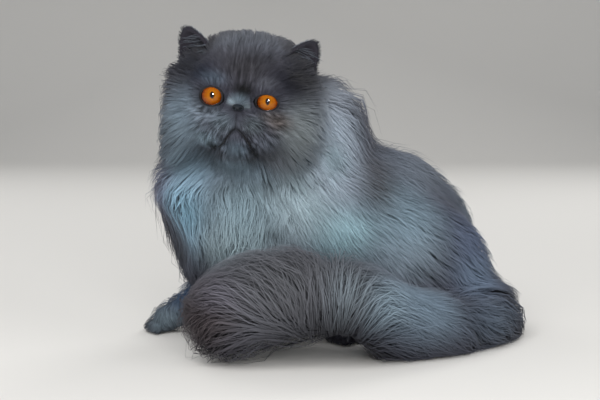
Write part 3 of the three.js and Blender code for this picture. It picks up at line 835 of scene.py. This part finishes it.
def iris_material(name, centre, right, up):
    """A wet orange iris: rays from a slit pupil out to a dark ring, under a clear coat."""
    material, tree, place = new_material(f"wet_orange_iris_{name}")

    def vector(operation, source, *values):
        return node_of(tree, "ShaderNodeVectorMath", [(source, 0)], values, operation=operation)

    def number(operation, links, *values):
        return node_of(tree, "ShaderNodeMath", links, values, operation=operation).outputs[0]

    local = vector("SUBTRACT", place, (1, to_scene(centre))).outputs[0]
    parts = [vector("DOT_PRODUCT", local, (1, axis * 1000)).outputs["Value"] for axis in (right, up)]
    flat = node_of(tree, "ShaderNodeCombineXYZ", [(parts[0], "X"), (parts[1], "Y")]).outputs[0]
    radius = vector("LENGTH", flat).outputs["Value"]
    ray = vector("NORMALIZE", flat).outputs[0]
    rays = node_of(tree, "ShaderNodeTexNoise", [(ray, "Vector")], Scale=9.0, Detail=3.0)
    flecks = node_of(tree, "ShaderNodeTexNoise", [(flat, "Vector")], Scale=0.9, Detail=2.0)
    sway = number("ADD", [(rays.outputs["Fac"], 0), (flecks.outputs["Fac"], 1)])
    shift = number("MULTIPLY_ADD", [(sway, 0)], (1, 2.2), (2, -2.2))
    reach = number("ADD", [(radius, 0), (shift, 1)])
    share = number("DIVIDE", [(reach, 0)], (1, EYE_RADIUS))
    ramp = node_of(tree, "ShaderNodeValToRGB", [(share, "Fac")])
    while len(ramp.color_ramp.elements) < len(IRIS_STOPS):
        ramp.color_ramp.elements.new(0.5)
    for element, (at, hexa) in zip(ramp.color_ramp.elements, IRIS_STOPS):
        element.position = at
        element.color = (*linear(hexa), 1)
    oval = vector("MULTIPLY", flat, (1, (1 / PUPIL[0], 1 / PUPIL[1], 1))).outputs[0]
    to_pupil = vector("LENGTH", oval).outputs["Value"]
    edge = node_of(tree, "ShaderNodeMapRange", [(to_pupil, "Value")], From_Min=0.85, From_Max=1.15)
    links = [(edge.outputs[0], "Factor"), (ramp.outputs[0], 7)]
    colour = node_of(tree, "ShaderNodeMix", links, [(6, PUPIL_BLACK)], data_type="RGBA")
    finish_material(
        tree,
        [(colour.outputs[2], "Base Color")],
        Roughness=0.5,
        Specular_IOR_Level=0.0,
        Coat_Weight=0.6,
        Coat_Roughness=0.03,
    )
    return material


MOIST_SKIN = moist_material("dark_damp_skin", "0e0c0e", 0.45, 0.6)
NOSE_LEATHER = moist_material("nose_leather", "161b21", 0.4, 0.7)
COAT = coat_material()
HIDE = skin_material()


def set_tint(mesh, colours):
    layer = mesh.attributes.new("tint", "FLOAT_COLOR", "POINT")
    opaque = np.column_stack([colours, np.ones(len(colours))])
    layer.data.foreach_set("color", opaque.astype(np.float32).ravel())


def read(items, what, width, kind=float):
    """One of a mesh's lists as rows of numbers."""
    values = np.zeros(len(items) * width, kind)
    items.foreach_get(what, values)
    return values.reshape(-1, width)


def on_ear_wall(name, points):
    """Whether points lie on an ear's surface."""
    return np.abs(ear_form(name)(points)) < 0.8


skin = build_skin()
unwrap(skin)
skin.data.materials.append(HIDE)
skin_points = read(skin.data.vertices, "co", 3) * 1000 - SHIFT
skin_tint = marks_and_painted_shade(skin_points) * SKIN_SHADE
skin_tint[on_ear_wall("left", skin_points) | on_ear_wall("right", skin_points)] = linear(EAR_BARE)
set_tint(skin.data, skin_tint)
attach(skin, "root")
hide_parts(*NODES, "ear_left", "ear_right")

# The skin's triangles, from which the coat grows
skin.data.calc_loop_triangles()
triangles = read(skin.data.loop_triangles, "vertices", 3, int)
loops = read(skin.data.loop_triangles, "loops", 3, int)
skin_uvs = read(skin.data.uv_layers["OFBake"].data, "uv", 2)
corners = skin_points[triangles]
across = np.cross(corners[:, 1] - corners[:, 0], corners[:, 2] - corners[:, 0])
areas = length_of(across) / 2
face_normals = unit(across)
centres = corners.mean(1)
on_ear = {name: on_ear_wall(name, centres) & (skin_form(centres) > -1.5) for name in EARS}


def roots_over(weights, count):
    """Random places on the skin, as many as asked, shared out by weight and area."""
    shares = weights * areas
    pick = rng.choice(len(shares), count, p=shares / shares.sum())
    a, b = rng.random((2, count))
    flip = a + b > 1
    a[flip], b[flip] = 1 - a[flip], 1 - b[flip]
    split = np.stack([1 - a - b, a, b], 1)
    places = (corners[pick] * split[:, :, None]).sum(1)
    uvs = (skin_uvs[loops[pick]] * split[:, :, None]).sum(1)
    return places, uvs, face_normals[pick]


def noise_at(points, size, seed):
    """Smooth noise from -1 to 1 that changes over `size` millimetres."""
    offset = Vector((seed * 17.3, seed * 5.1, seed * 29.7))
    return np.array([noise.noise(Vector(p) / size + offset) for p in points])


def new_piece(name, points, faces, material):
    """A mesh of the given faces that rides on the one body."""
    mesh = bpy.data.meshes.new(name)
    places = [tuple(p) for p in to_scene(np.asarray(points))]
    mesh.from_pydata(places, [], [tuple(map(int, face)) for face in faces])
    mesh.shade_smooth()
    return rider(name, mesh, material)


def tube_mesh(name, paths, outs, widths, flats, tints, uvs):
    """Closed three-sided tapered tubes, one to a path, as one mesh."""
    count, stations = paths.shape[:2]
    rings = stations - 1
    along = np.gradient(paths, axis=1)
    side = unit(np.cross(along, outs))
    up = unit(np.cross(side, along))[:, :rings]
    side = side[:, :rings]
    share = np.linspace(0, 1, stations)[:rings]
    swell = (0.65 + 0.9 * share) * (1 - share**2.6)
    radius = (widths[:, None] / 2 * swell)[..., None]
    flat = flats[:, None, None]
    ring_points, ring_normals = [], []
    for turn in np.radians((90, 210, 330)):
        ring_points.append(paths[:, :rings] + radius * (side * math.cos(turn) + up * math.sin(turn) * flat))
        ring_normals.append(unit(side * math.cos(turn) * flat + up * math.sin(turn)))
    per = rings * 3 + 1
    points = np.concatenate([np.stack(ring_points, 2).reshape(count, -1, 3), paths[:, -1:]], 1)
    own = np.concatenate([np.stack(ring_normals, 2).reshape(count, -1, 3), unit(along[:, -1:])], 1)

    def to_points(values):
        """Values at stations, spread to the points round them."""
        return np.concatenate([np.repeat(values[:, :rings], 3, axis=1), values[:, -1:]], 1)

    normals = unit(own * (1 - SOFTNESS) + to_points(outs) * SOFTNESS)
    last = 3 * (rings - 1)
    faces = [(0, 1, 2), *ring_quads(0, rings, 3, flip=True)]
    faces += [(last + (k + 1) % 3, last + k, per - 1) for k in range(3)]
    sizes = np.tile([len(f) for f in faces], count)
    corner_points = (np.arange(count)[:, None] * per + np.concatenate(faces)).ravel()
    mesh = bpy.data.meshes.new(name)
    mesh.vertices.add(count * per)
    mesh.vertices.foreach_set("co", to_scene(points.reshape(-1, 3)).astype(np.float32).ravel())
    mesh.loops.add(len(corner_points))
    mesh.loops.foreach_set("vertex_index", corner_points.astype(np.int32))
    mesh.polygons.add(len(sizes))
    mesh.polygons.foreach_set("loop_start", (np.cumsum(sizes) - sizes).astype(np.int32))
    mesh.update(calc_edges=True)
    mesh.shade_smooth()
    mesh.normals_split_custom_set_from_vertices(normals.reshape(-1, 3).astype(np.float32))
    point_share = np.append(np.repeat(share, 3), 1.0)
    tones = lerp(ROOT_TONE, TIP_TONE, point_share)
    set_tint(mesh, (to_points(tints) * tones[None, :, None]).reshape(-1, 3))
    patch = np.column_stack([np.append(np.tile((0, 0.5, 1), rings), 0.5), point_share]) - 0.5
    point_uvs = uvs[:, None] + UV_PATCH * patch
    layer = mesh.uv_layers.new(name="OFBake")
    layer.data.foreach_set("uv", point_uvs.reshape(-1, 2)[corner_points].astype(np.float32).ravel())
    rider(name, mesh, COAT)


# Where the coat is fuller or slimmer than its even depth: frame, centre, radii and share added
FLUFF = [
    (HEAD, (0, 6, 52), (44, 36, 22), 0.9),
    (HEAD, (34, 20, 40), (26, 22, 26), 1.3),
    (HEAD, (-36, 20, 40), (28, 22, 26), 1.3),
    *[(HEAD, (side * 40, -16, 36), (16, 14, 14), -0.45) for side, _ in SIDES],
    (HEAD, (-57, 6, 27), (15, 24, 15), 1.1),
    (HEAD, (54, 8, 30), (13, 24, 13), 0.8),
    (HEAD, (60, -2, 16), (20, 30, 28), 1.1),
    (HEAD, (-62, -2, 12), (20, 30, 28), 1.1),
    (HEAD, (-58, 0, -52), (20, 30, 24), 1.3),
    (HEAD, (56, 0, -48), (20, 24, 22), 0.4),
    (ROOM, (38, 50, 232), (48, 50, 44), 0.5),
    (ROOM, (-125, 0, 158), (40, 60, 42), 0.3),
    (ROOM, (185, 55, 95), (42, 70, 56), -0.4),
    (ROOM, (150, 70, 140), (40, 70, 36), -0.42),
    (ROOM, (-118, -18, 102), (36, 50, 36), -0.62),
    (ROOM, (190, 20, 20), (36, 60, 26), 0.4),
    (ROOM, (-80, -100, 26), (46, 50, 40), 0.6),
    (ROOM, (-10, -150, 40), (60, 50, 46), 0.16),
    (BODY, (85, 190, 20), (40, 50, 40), 0.5),
]
MOUTH_KNOTS = smooth_curve([(x, 0, z) for x, z in MOUTH], np.linspace(0, 1, 25))[:, ::2]


def coat_at(points):
    """Distance from the skin, coat depth, lie and outward direction, with the eyes' lids and fluff added."""
    distance, depth, lie, out = field.at(points)
    distance = detailed(distance, points)
    for place, centre, radii, more in FLUFF:
        depth = depth * (1 + more * place.patch(points, centre, radii))
    local = HEAD.within(points)
    mouth_gap = np.min([length_of(local[:, ::2] - knot) for knot in MOUTH_KNOTS], 0)
    depth = depth * (1 - 0.65 * np.exp(-((mouth_gap / 5) ** 2)) * smoothstep(-local[:, 1], 15, 35))
    for name in EYES:
        local = points - EYES[name]
        near = (1 - smoothstep(length_of(local), 13.5, 19.5))[:, None]
        lie = lie + 2.2 * near * unit(local)
        out = unit(out + 2 * near * unit(local))
    return distance, depth, lie, out


def grown(roots, lengths, reach, stations, turn, rise):
    """Strands that leave the skin, rise to their share of the coat's depth and follow its lie."""
    points = roots.copy()
    distance, depth, lie, out = coat_at(points)
    paths, outs = [points.copy()], [out]
    for i in range(1, stations):
        share = i / (stations - 1)
        along = unit(lie - out * (lie * out).sum(1)[:, None])
        side = np.cross(out, along)
        along = along * np.cos(turn)[:, None] + side * np.sin(turn)[:, None]
        along[:, 2] *= np.where(along[:, 2] < 0, smoothstep(points[:, 2], 3, 16), 1)
        points = points + along * (lengths / (stations - 1))[:, None]
        level = reach * (1 - (1 - share) ** rise)
        for _ in range(2):
            distance, depth, lie, out = coat_at(points)
            points = points + out * np.clip(level * depth - distance, -9, 9)[:, None]
        points[:, 2] = np.maximum(points[:, 2], 0.8 + 0.6 * share)
        paths.append(points.copy())
        outs.append(out)
    return np.stack(paths, 1), np.stack(outs, 1)


def gathered(paths, roots, size, pull):
    """Draws the strands' ends together in locks about `size` apart; gives each strand's lock."""
    spread = max(int(len(roots) * 0.5), 1)
    sample = rng.permutation(len(roots))[:spread]
    cells = {}
    for i in sample:
        cells.setdefault(tuple((roots[i] // size).astype(int)), i)
    guides = np.array(list(cells.values()))
    tree = kdtree.KDTree(len(guides))
    for i, guide in enumerate(guides):
        tree.insert(roots[guide], i)
    tree.balance()
    lock = np.array([tree.find(root)[1] for root in roots])
    share = np.linspace(0, 1, paths.shape[1]) ** 1.3
    target = paths[guides[lock]]
    return paths + (target - paths) * (pull[:, None] * share)[..., None], lock


def streaks(points):
    """Rows of darker hair that run out from the muzzle over the cheeks, and up the forehead."""
    local = HEAD.within(points) - np.array((0, -56, -14))
    turn = np.arctan2(local[:, 2], np.abs(local[:, 0]))
    away = np.sqrt(local[:, 0] ** 2 + local[:, 2] ** 2)
    cheek = smoothstep(away, 7, 14) * (1 - smoothstep(away, 36, 54)) * (1 - smoothstep(turn, -0.1, 0.5))
    cheek *= smoothstep(np.abs(local[:, 0]), 3, 8)
    rows = np.stack([turn * 19 + np.sign(local[:, 0]) * 20, away * 0.25, local[:, 0] * 0], 1)
    side_rows = noise_at(rows, 1.0, 11)
    brow = smoothstep(local[:, 2], 14, 26) * (1 - smoothstep(local[:, 2], 60, 84))
    brow *= 1 - smoothstep(np.abs(local[:, 0]), 16, 34)
    up_rows = noise_at(np.stack([local[:, 0] * 0.5, local[:, 2] * 0.06, local[:, 0] * 0], 1), 1.0, 13)
    return 1 + (2.0 * cheek * side_rows + 0.8 * brow * up_rows) * (local[:, 1] < 40)


def mouth_painted_shade(points):
    """Painted shade: darkens the coat along the crease of the mouth and in the groove under the nose, as seen
    from the front.
    """
    local = HEAD.within(points)
    ahead = smoothstep(-local[:, 1], 25, 40)
    gaps = []
    for line in (mouth_line, groove_line):
        knots = HEAD.within(line)[:, ::2]
        gaps.append(np.min([length_of(local[:, ::2] - knot) for knot in knots], 0))
    corner = 1.9 + 1.7 * smoothstep(np.abs(local[:, 0]), 6, 26)
    shade = (1 - 0.84 * np.exp(-((gaps[0] / corner) ** 2))) * (1 - 0.5 * np.exp(-((gaps[1] / 0.9) ** 2)))
    return lerp(1, shade, ahead)


def toe_gap_painted_shade(points):
    """Painted shade: darkens the coat in the gaps between the toes."""
    shade = np.ones(len(points))
    for place, ahead, aside in TOE_GAPS:
        local = points - place
        near = np.exp(-((local @ aside / 1.1) ** 2) - (local @ ahead / 9) ** 4 - (local[:, 2] / 16) ** 4)
        shade = np.minimum(shade, 1 - 0.6 * near)
    return shade


groove_line = smooth_curve(on_face([(0, -13), (0, -19), (0, -27)]), np.linspace(0, 1, 13))


def trimmed(roots, lengths):
    """Shortens hair over the lip and round the eyes, and says which roots may bear hair."""
    gap = to_line(roots, mouth_line)
    local = HEAD.within(roots)
    above = local[:, 2] > np.interp(local[:, 0], *np.array(MOUTH).T)
    overhang = np.maximum(gap + rng.uniform(-0.6, 1.8, len(roots)), 1.6)
    over_lip = (gap < 14) & above & (np.abs(local[:, 0]) < 36)
    lengths = np.where(over_lip, np.minimum(lengths, overhang), lengths)
    keep = (gap > 0.6) & (nose_form(roots) > 0.3) & (roots[:, 2] > 1.0)
    for eye in EYES:
        share, reach = opening_share(roots, eye)
        keep &= ~((reach < LID_MOUND + 3.5) & (share < 1.02))
        short = np.minimum(lengths, 3.5 + 12 * np.maximum(share - 1.05, 0))
        lengths = np.where(reach < 22, short, lengths)
    return lengths, keep


def waved(paths, outs, lengths, wave):
    """Bends strands from side to side in waves that neighbours share."""
    count, stations = paths.shape[:2]
    side = np.cross(unit(np.gradient(paths, axis=1)), outs)
    flow = unit((paths[:, -1] - paths[:, 0]).mean(0))
    phase = 5 * noise_at(paths.reshape(-1, 3), 44, 5).reshape(count, stations)
    phase = phase + rng.normal(0, 0.25, count)[:, None]
    swing = np.sin(phase + paths @ flow * (2 * math.pi / WAVE_LENGTH))
    size = wave * np.minimum(0.055 * lengths, 3.6)[:, None] * np.linspace(0, 1, stations)[None]
    return paths + side * (swing * size)[..., None]


def coat_piece(name, weights, count, stations, lock, lay=1, thick=1, wave=1, stray=1, pull=1, fleck=0.1):
    """One piece of the coat: soft broad locks under fine strands, a few of which stand out loose.

    It has `count` strands of `stations` places each, drawn together in locks about `lock` apart. The rest
    are factors of their length, width, waves, straying and drawing together, and the locks' change of tone.
    """
    count = count // FEWER
    roots, uvs, _ = roots_over(weights, count)
    depth = coat_at(roots)[1]
    under = rng.random(count) < UNDER_SHARE
    lengths = LEAST_HAIR + HAIR_TO_DEPTH * np.minimum(depth, LONGEST_DEPTH)
    lengths = lengths * lay * rng.uniform(0.8, 1.2, count)
    lengths, keep = trimmed(roots, lengths)
    keep &= ~(under & (depth < 6))
    roots, uvs, depth, lengths, under = (a[keep] for a in (roots, uvs, depth, lengths, under))
    count = len(roots)
    apart = 0.3 * noise_at(roots, 6, 4) + rng.normal(0, 0.1, count)
    turn = 0.3 * noise_at(roots, 14 + lock, 3) + stray * apart
    reach = np.where(under, rng.uniform(0.45, 0.7, count), rng.uniform(0.68, 1.04, count))
    loose = ~under & (rng.random(count) < LOOSE_SHARE) & (depth > 12) & (roots[:, 2] > 45)
    reach = np.where(loose, reach * 1.15, reach)
    rise = np.where(depth > PLUME_DEPTH, PLUME_RISE, RISE)
    paths, outs = grown(roots, lengths, reach, stations, turn, rise)
    straight = length_of(paths[:, -1] - paths[:, 0]) > 0.4 * length_of(np.diff(paths, axis=1)).sum(1)
    paths, outs, roots, uvs = (a[straight] for a in (paths, outs, roots, uvs))
    depth, lengths, under, loose = (a[straight] for a in (depth, lengths, under, loose))
    count = len(roots)
    paths = waved(paths, outs, lengths, wave)
    together = pull * np.where(loose, 0.2, 1.0)
    paths, small = gathered(paths, roots, lock * 0.4, 0.45 * together)
    paths, large = gathered(paths, roots, lock, 0.4 * together)
    paths[:, :, 2] = np.maximum(paths[:, :, 2], FLOOR_GAP)
    widths = (0.5 + 0.011 * np.minimum(depth, 45)) * rng.uniform(0.7, 1.3, count) * thick
    widths = np.where(under, widths * UNDER_WIDTH, widths) * np.where(loose, 0.7, 1.0) * WIDER
    tone = rng.uniform(1 - fleck, 1 + fleck, large.max() + 1)[large]
    tone *= rng.uniform(1 - 0.7 * fleck, 1 + 0.7 * fleck, small.max() + 1)[small]
    tone *= rng.uniform(0.92, 1.08, count) * (1 + 0.1 * noise_at(roots, 9, 8)) * np.where(under, 0.9, 1.0)
    flat_paths = paths.reshape(-1, 3)
    # The streaks' tone, times painted shade along the mouth and between the toes
    shade = np.clip(streaks(flat_paths), 0.35, 1.6) * mouth_painted_shade(flat_paths) * toe_gap_painted_shade(flat_paths)
    tints = (marks_and_painted_shade(flat_paths) * shade[:, None]).reshape(paths.shape) * tone[:, None, None]
    tube_mesh(name, paths, outs, widths, np.where(under, 0.3, 0.6), tints, uvs)


def nose_form(points):
    """The nose leather: a broad pad over two lobes, with a comma-shaped nostril in each."""
    lobes = [((0.5, -58.5, -6.7), (4.2, 5.5, 2.7))]
    lobes += [((side * 2.8 + 0.5, -58.5, -7.3), (2.6, 5.5, 2.4)) for side, _ in SIDES]
    pits = [((0.5, -65.6, -8.8), (0.45, 2.6, 2.6))]
    for side, _ in SIDES:
        pits.append(((side * 2.8 + 0.5, -64, -7.8), (1.15, 3.2, 1.3)))
        pits.append(((side * 4.1 + 0.5, -64, -7.1), (1.2, 2.6, 0.8)))
    solid = None
    for centre, radii in lobes:
        distance = Ellipsoid(HEAD, centre, radii).distance(points)
        solid = distance if solid is None else melt(solid, distance, 2.0)
    for centre, radii in pits:
        solid = -melt(-solid, Ellipsoid(HEAD, centre, radii).distance(points), 0.8)
    return solid


def build_nose():
    surface, faces = surface_of(nose_form, HEAD.out((0, -59, -8)) - 11, 0.5, 45)
    nose = new_piece("nose_leather", surface, faces, NOSE_LEATHER)
    unwrap(nose)
    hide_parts("nose")


def build_eye(name):
    """An eyeball whose clear front bulges a little, looking at the camera."""
    centre = EYES[name]
    gaze = unit(CAMERA_PLACE + GAZE_ABOVE - centre)
    right = unit(np.cross(gaze, UP))
    up = np.cross(right, gaze)
    rings, spokes = 60, 64
    points = [centre + gaze * (CORNEA_AHEAD + CORNEA_RADIUS)]
    for i in range(1, rings):
        angle = math.pi * i / rings
        off_axis = CORNEA_AHEAD * math.sin(angle)
        cornea = CORNEA_AHEAD * math.cos(angle) + math.sqrt(CORNEA_RADIUS**2 - off_axis**2)
        reach = max(EYE_RADIUS, cornea)
        for k in range(spokes):
            turn = 2 * math.pi * k / spokes
            ray = gaze * math.cos(angle) + (right * math.cos(turn) + up * math.sin(turn)) * math.sin(angle)
            points.append(centre + ray * reach)
    points.append(centre - gaze * EYE_RADIUS)
    last = 1 + (rings - 2) * spokes
    faces = [(1 + (k + 1) % spokes, 1 + k, 0) for k in range(spokes)]
    faces += ring_quads(1, rings - 1, spokes, flip=True)
    faces += [(last + (k + 1) % spokes, last + k, len(points) - 1) for k in range(spokes)]
    eye = new_piece(f"eyeball_{name}", points, faces, iris_material(name, centre, right, up))
    unwrap(eye)
    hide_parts(f"eye_{name}")


# The lid's edge, from on the eyeball out over the rim: share of the opening, distance from the eye's centre
LID_PROFILE = [
    *[(0.93, 10.7), (0.95, 11.4), (0.97, 11.9), (0.985, 12.3)],
    *[(1.0, 12.4), (1.02, 12.1), (1.05, 11.5)],
]


def build_lids():
    """Bare rims round the eyes and lips along the mouth."""
    points, faces = [], []
    spokes = 96
    turns = np.linspace(0, 2 * math.pi, spokes, endpoint=False)
    for name in EYES:
        faces += ring_quads(len(points), len(LID_PROFILE), spokes)
        for share, reach in LID_PROFILE:
            points += list(at_opening(name, share, turns, reach))
    sides = 8
    for line, sizes in ((mouth_line, lip_sizes), (groove_line, np.full(len(groove_line), 0.35))):
        line = settled(skin_form, line)
        along = unit(np.gradient(line, axis=0))
        out = unit(slope_of(skin_form, line))
        side = unit(np.cross(along, out))
        first = len(points)
        for place, size, a, b in zip(line, sizes, side, out):
            for turn in np.linspace(0, 2 * math.pi, sides, endpoint=False):
                points.append(place + size * (a * math.cos(turn) + b * (math.sin(turn) + 0.2)))
        faces += ring_quads(first, len(line), sides)
        faces.append([first + k for k in range(sides)][::-1])
        faces.append([len(points) - sides + k for k in range(sides)])
    unwrap(new_piece("lids_and_lips", points, faces, MOIST_SKIN))


lip_sizes = 0.65 + 0.5 * np.abs(np.linspace(-1, 1, len(mouth_line))) ** 3


def ear_coat():
    """Short hair over the ears, a pale fringe at the rim and long hairs that sweep across the cups."""
    parts = []
    share = np.linspace(0, 1, EAR_STATIONS)[None, :, None]
    for side, name in SIDES:
        ear = EARS[name]
        count = EAR_HAIRS // FEWER
        roots, uvs, normals = roots_over(on_ear[name].astype(float), count)
        local = ear.within(roots)
        inside = (normals @ ear.turn)[:, 1] < -0.2
        lie = ear.toward((side * 0.2, 0, 1))[None] + 0.35 * normals * np.where(inside, 0.5, 1.0)[:, None]
        length = rng.uniform(2.2, 4.2, count)
        across = inside & (rng.random(count) < 0.15)
        sweep = ear.toward((side * 1.0, -0.75, 0.55))
        lie = np.where(across[:, None], sweep[None] + rng.normal(0, 0.18, (count, 3)), unit(lie))
        length = np.where(across, rng.uniform(8, 15, count), length)
        keep = ~across | ((local[:, 0] * side < 4) & (local[:, 2] < 20))
        bend = 0.35 * ear.toward((side * 0.5, 0, -0.35))[None, None] * share**2
        path = roots[:, None] + length[:, None, None] * (unit(lie)[:, None] * share + bend)
        rim = smoothstep(local[:, 2], 8, 24) * ~inside
        tint = np.where(inside[:, None], linear(EAR_CUP), linear(EAR_BACK))
        tint = lerp(tint, linear(EAR_FRINGE), (rim * 0.6)[:, None])
        tint = np.where(across[:, None], linear(EAR_ACROSS), tint) * rng.uniform(0.8, 1.2, count)[:, None]
        widths = rng.uniform(0.3, 0.7, keep.sum()) * WIDER
        parts.append((path[keep], normals[keep], widths, tint[keep], uvs[keep]))
    paths, outs, widths, tints, uvs = map(np.concatenate, zip(*parts))
    outs, tints = (np.repeat(values[:, None], EAR_STATIONS, 1) for values in (outs, tints))
    tube_mesh("coat_ears", paths, outs, widths, np.full(len(widths), 0.6), tints, uvs)


build_nose()
for eye_name in EYES:
    build_eye(eye_name)
build_lids()
ear_coat()

# Which node each triangle's flesh belongs to, and how densely each carries hair
owner = np.array([node for node, *_ in FORMS])[np.argmin(flesh_distances(centres), 0)].astype(str)
centre_depth = field.at(centres)[1]
body_local = BODY.within(centres)
head_local = HEAD.within(centres)
REGIONS = ("head", "ruff", "torso", "hind", "fore", "tail")
in_region = [np.char.startswith(owner, start) for start in REGIONS]
is_head, is_ruff, is_torso, is_hind, is_fore, is_tail = in_region
is_face = is_head & (length_of(head_local - np.array((0, -50, -12))) < 46)
is_plume = is_tail & (centre_depth > PLUME_DEPTH)
beneath = (face_normals[:, 2] < -0.4) & (centres[:, 2] < 60) & ~(is_tail & (centres[:, 0] > 0))
density = ~(on_ear["left"] | on_ear["right"]) * (1 - 0.7 * beneath) / (0.9 + 0.075 * centre_depth)
front = head_local[:, 1] < 10
left = body_local[:, 0] > 0
foremost = body_local[:, 1] < 110
before = body_local[:, 1] < 0
coat_piece("coat_face", density * is_face, 22000, 3, 2.6, 0.85, 0.8, fleck=0.2)
coat_piece("coat_brow_and_cheeks", density * (is_head & ~is_face & front), 10000, 4, 6.0, fleck=0.14)
coat_piece("coat_nape", density * (is_head & ~is_face & ~front), 3000, 4, 8.0, 1.0, 1.3)
coat_piece("coat_chest", density * (is_ruff & before), 8000, 5, 14.0, wave=2.5, pull=1.15, fleck=0.2)
coat_piece("coat_neck", density * (is_ruff & ~before), 6000, 4, 10.0)
coat_piece("coat_left_side", density * (is_torso & left & foremost), 7500, 4, 10.0)
coat_piece("coat_left_rump", density * (is_torso & left & ~foremost), 5000, 4, 10.0)
coat_piece("coat_right_side", density * (is_torso & ~left & foremost), 3500, 4, 12.0, 1.0, 1.4)
coat_piece("coat_right_rump", density * (is_torso & ~left & ~foremost), 2800, 4, 12.0, 1.0, 1.4)
coat_piece("coat_left_haunch", density * (is_hind & left), 4700, 5, 9.0, wave=1.3)
coat_piece("coat_right_haunch", density * (is_hind & ~left), 3000, 4, 12.0, 1.0, 1.4)
coat_piece("coat_forelegs", density * is_fore, 6000, 3, 5.0)
coat_piece("coat_tail", density * (is_tail & ~is_plume), 4000, 5, 11.0, 0.9, 1.0, 2.0, pull=0.7)
coat_piece("coat_plume", density * is_plume, 8500, 5, 9.0, 0.75, 0.7, 1.2, 1.6, pull=0.5)


# Floor, light and camera
def pale_floor():
    """Matt painted board under the model and behind it."""
    material, tree, place = new_material("matt_painted_board")
    grain = node_of(tree, "ShaderNodeTexNoise", [(place, "Vector")], Scale=400.0)
    bump = node_of(tree, "ShaderNodeBump", [(grain.outputs["Fac"], "Height")], Strength=0.05, Distance=0.0005)
    finish_material(tree, [(bump.outputs[0], "Normal")], Base_Color=(*linear("d8d6d2"), 1), Roughness=0.8)
    front, back, top, half_width, sweep = -4.0, 2.2, 4.0, 4.0, 0.8
    profile = [(front, 0.0), (back, 0.0)]
    for turn in np.linspace(0.1, math.pi / 2, 16):
        profile.append((back + math.sin(turn) * sweep, sweep - math.cos(turn) * sweep))
    profile.append((back + sweep, top))
    points = [(x, y, z) for y, z in profile for x in (-half_width, half_width)]
    faces = [(2 * i, 2 * i + 1, 2 * i + 3, 2 * i + 2) for i in range(len(profile) - 1)]
    mesh = bpy.data.meshes.new("floor")
    mesh.from_pydata(points, [], faces)
    mesh.shade_smooth()
    mesh.materials.append(material)
    placed("floor", mesh)


def lamp(name, place, size, power, target=(0, 0, 0.14)):
    light = bpy.data.lights.new(name, "AREA")
    light.shape = "RECTANGLE"
    light.size, light.size_y = size
    light.energy = power
    piece = placed(name, light)
    piece.visible_glossy = False
    piece.location = place
    piece.rotation_euler = (Vector(target) - Vector(place)).to_track_quat("-Z", "Y").to_euler()
    return piece


def catch_light():
    """A small bright window that only the wet eyes mirror."""
    window = lamp("window", (0.19, -1.45, 0.66), (0.26, 0.46), 440)
    window.visible_glossy = True
    window.visible_diffuse = False
    eyes = bpy.data.collections.new("eyes")
    for name in EYES:
        eyes.objects.link(bpy.data.objects[f"eyeball_{name}"])
    window.light_linking.receiver_collection = eyes


pale_floor()
catch_light()
lamp("key", (-0.7, -1.3, 1.6), (1.3, 1.3), 26)
lamp("front", (0.14, -1.45, 0.58), (0.6, 0.6), 14)
lamp("fill", (1.5, -1.2, 0.9), (1.4, 1.4), 9)
lamp("rim", (0.9, 1.5, 1.4), (1.0, 1.0), 15)
lamp("back", (-1.2, 1.4, 1.2), (1.2, 1.2), 9)
world = bpy.data.worlds.new("studio")
bpy.context.scene.world = world
world.use_nodes = True
background = world.node_tree.nodes["Background"]
background.inputs["Color"].default_value = (0.8, 0.82, 0.85, 1)
background.inputs["Strength"].default_value = 0.4
bpy.context.scene.view_settings.view_transform = "Standard"

camera_data = bpy.data.cameras.new("camera")
camera_data.lens = 85
camera_data.sensor_width = 36
camera = placed("camera", camera_data)
camera.location = to_scene(CAMERA_PLACE)
camera.rotation_euler = (math.radians(90 - CAMERA_TILT), 0, 0)
bpy.context.scene.camera = camera
